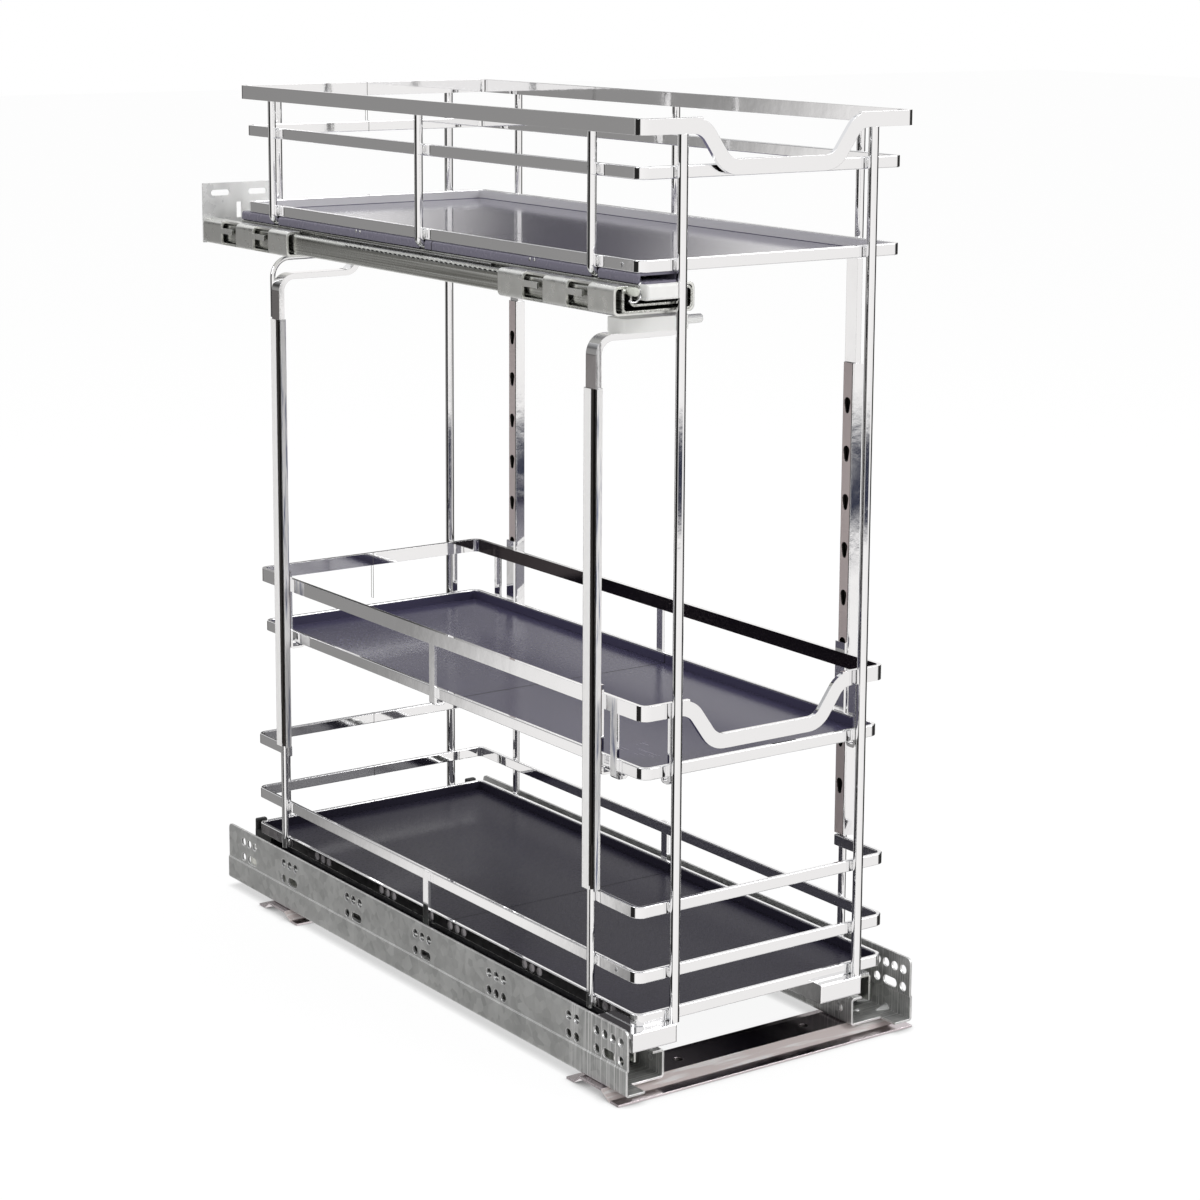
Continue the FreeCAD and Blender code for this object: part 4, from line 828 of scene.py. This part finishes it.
# The middle basket's tray has a satin lacquer. Things set down near its front have left a few fine
# pale scratches in it.
scratch_spot = (-0.056, -0.210)
scratch_reach = (0.014, 0.016)
scratch_turn = 0.5
scratch_stretch = (900.0, 40.0, 1.0)
scratch_level = 0.66
worn_lacquer = lacquer("satin_lacquer", (0.070, 0.064, 0.118), 0.20, (0.18, 0.26))
tree = worn_lacquer.node_tree
turned = tree.nodes.new("ShaderNodeMapping")
turned.inputs["Rotation"].default_value = (0.0, 0.0, scratch_turn)
turned.inputs["Scale"].default_value = scratch_stretch
tree.links.new(own_place(tree), turned.inputs["Vector"])
lines = grain_noise(tree, turned.outputs[0], scale=1.0, detail=1.0)
patch_low = (scratch_spot[0] - scratch_reach[0], scratch_spot[1] - scratch_reach[1], 0.0)
patch_high = (scratch_spot[0] + scratch_reach[0], scratch_spot[1] + scratch_reach[1], beyond)
patch = inside_box(tree, patch_low, patch_high, both_sides=False)
marks = reckon(tree, "MULTIPLY", reckon(tree, "GREATER_THAN", lines, scratch_level), patch)
painted(worn_lacquer, marks, (0.34, 0.32, 0.40), roughness=0.4)
dress(worn_lacquer, "middle_tray")

# Weld beads join the side wires, the posts and the carriers to the bars: pairs of small upright
# beads, and a flat one on each side wire, level with the top rim's lowest point. They are chromed
# over with the rest and rippled like the melt they were.
bead = (0.0009, 0.0009, 0.0032)
rim_bead = (0.0028, 0.0036, 0.0007)
wire_radius = 0.003
wire_step = (0.0, 0.0026)
post_step = (0.0024, 0.0)
carrier_step = (0.0, 0.0032)
wire_gap = 0.0004
post_gap = 0.0003
carrier_gap = 0.0005
lower_front_bars = ("bottom_tray_rim", "bottom_middle_rail", "bottom_front_rail")
lower_rear_bars = ("bottom_tray_rim", "bottom_middle_rail", "bottom_rear_rail")
upper_bars = ("top_middle_rail", "top_tray_rim")


def middle_z(node):
    """Half way up a bar."""
    low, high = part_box(node)
    return (low[2] + high[2]) / 2.0


def bead_pair(shape, x, y, z, step):
    """Two upright beads on either side of a joint, each a step away from it."""
    for way in (-1.0, 1.0):
        blob(shape, (x + way * step[0], y + way * step[1], z), bead)


weld_metal = metal("weld_bead", (0.82, 0.82, 0.82), (0.08, 0.24), grain=900.0, bump=0.9, edge=0.0)
welds = bmesh.new()
basket_low, basket_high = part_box("bottom_tray_rim")
wires_low, wires_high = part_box("top_side_wires")
wire_x = wires_high[0] - wire_radius
wires_middle = (wires_low[1] + wires_high[1]) / 2.0
for side in (-1.0, 1.0):
    for y in (wires_low[1] + wire_radius, wires_middle, wires_high[1] - wire_radius):
        blob(welds, (side * wire_x, y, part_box("top_rim")[0][2]), rim_bead)
        for bar in upper_bars:
            bead_pair(welds, side * (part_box(bar)[1][0] + wire_gap), y, middle_z(bar), wire_step)
post_low, post_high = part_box("post_front_right")
post_x = (post_low[0] + post_high[0]) / 2.0
for side in (-1.0, 1.0):
    for bar in lower_front_bars + upper_bars:
        bead_pair(welds, side * post_x, basket_low[1] - post_gap, middle_z(bar), post_step)
for bar in lower_rear_bars + upper_bars:
    bead_pair(welds, post_x, basket_high[1] + post_gap, middle_z(bar), post_step)
for end in ("front", "rear"):
    low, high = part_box("carrier_" + end + "_left")
    for side in (-1.0, 1.0):
        for bar in ("bottom_tray_rim", "bottom_middle_rail"):
            carrier_x = side * (basket_high[0] + carrier_gap)
            bead_pair(welds, carrier_x, (low[1] + high[1]) / 2.0, middle_z(bar), carrier_step)
new_piece("weld_beads", welds, weld_metal, "carriage")

# Every hoop is one bar whose ends are butted and ground flush in the middle of the rear side. A
# dark hairline is left there: a narrow open band, hardly proud of the bar and as tall as the hoop's
# box.
joint_gap = 0.00022
joint_proud = 0.00004
joint_dark = metal("ground_joint", (0.10, 0.095, 0.09), (0.4, 0.6), grain=300.0, bump=0.2, edge=0.0)
for name, body, hoops in (
    ("butt_joints", "carriage", lower_rear_bars + upper_bars + ("top_rim",)),
    ("basket_butt_joints", "middle_basket", ("middle_tray_rim", "middle_rim")),
):
    joints = bmesh.new()
    for node in hoops:
        low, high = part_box(node)
        inner_y = high[1] - bar_sheet - joint_proud
        outer_y = high[1] + joint_proud
        foot_z = low[2] - joint_proud
        top_z = min(high[2] + joint_proud, cad_box[1][2])
        outline = ((inner_y, foot_z), (outer_y, foot_z), (outer_y, top_z), (inner_y, top_z))
        corners = [joints.verts.new((-joint_gap, y, z)) for y, z in outline]
        pairs = zip(corners, corners[1:] + corners[:1])
        ring = [joints.edges.new(pair) for pair in pairs]
        moved = drawn_on(joints, ring)[0]
        bmesh.ops.translate(joints, verts=moved, vec=(2.0 * joint_gap, 0.0, 0.0))
    new_piece(name, joints, joint_dark, body)

# Small buttons of bright steel on the left side: the dimple of a spot weld near the front on each
# of two bars, and two pairs of rivets that hold the plate under the top tray.
to_left = Vector((-1.0, 0.0, 0.0))
dimple_line = ((0.0, 0.0), (0.0018, 0.0), (0.0016, 0.00025), (0.0012, 0.0003), (0.0008, 0.00005),
               (0.0002, 0.00002), (0.0, 0.00002))
rivet_line = ((0.0, 0.0), (0.0013, 0.0), (0.0012, 0.0003), (0.0008, 0.0005), (0.0002, 0.00055),
              (0.0, 0.00055))
dimple_setbacks = {"bottom_middle_rail": 0.02225, "top_tray_rim": 0.01865}
rivet_setbacks = (0.34305, 0.12125)
rivet_half_pitch = 0.0026
rivet_drop = 0.0016
buttons = bmesh.new()
for bar, setback in dimple_setbacks.items():
    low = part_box(bar)[0]
    spot = (low[0], low[1] + setback, middle_z(bar))
    lathe(buttons, dimple_line, facing(spot, to_left), steps=20)
plate_low, plate_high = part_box("mounting_plate")
for setback in rivet_setbacks:
    for step in (-rivet_half_pitch, rivet_half_pitch):
        spot = (plate_low[0], plate_low[1] + setback + step, plate_high[2] - rivet_drop)
        lathe(buttons, rivet_line, facing(spot, to_left), steps=20)
new_piece("buttons", buttons, bright_steel, "carriage")
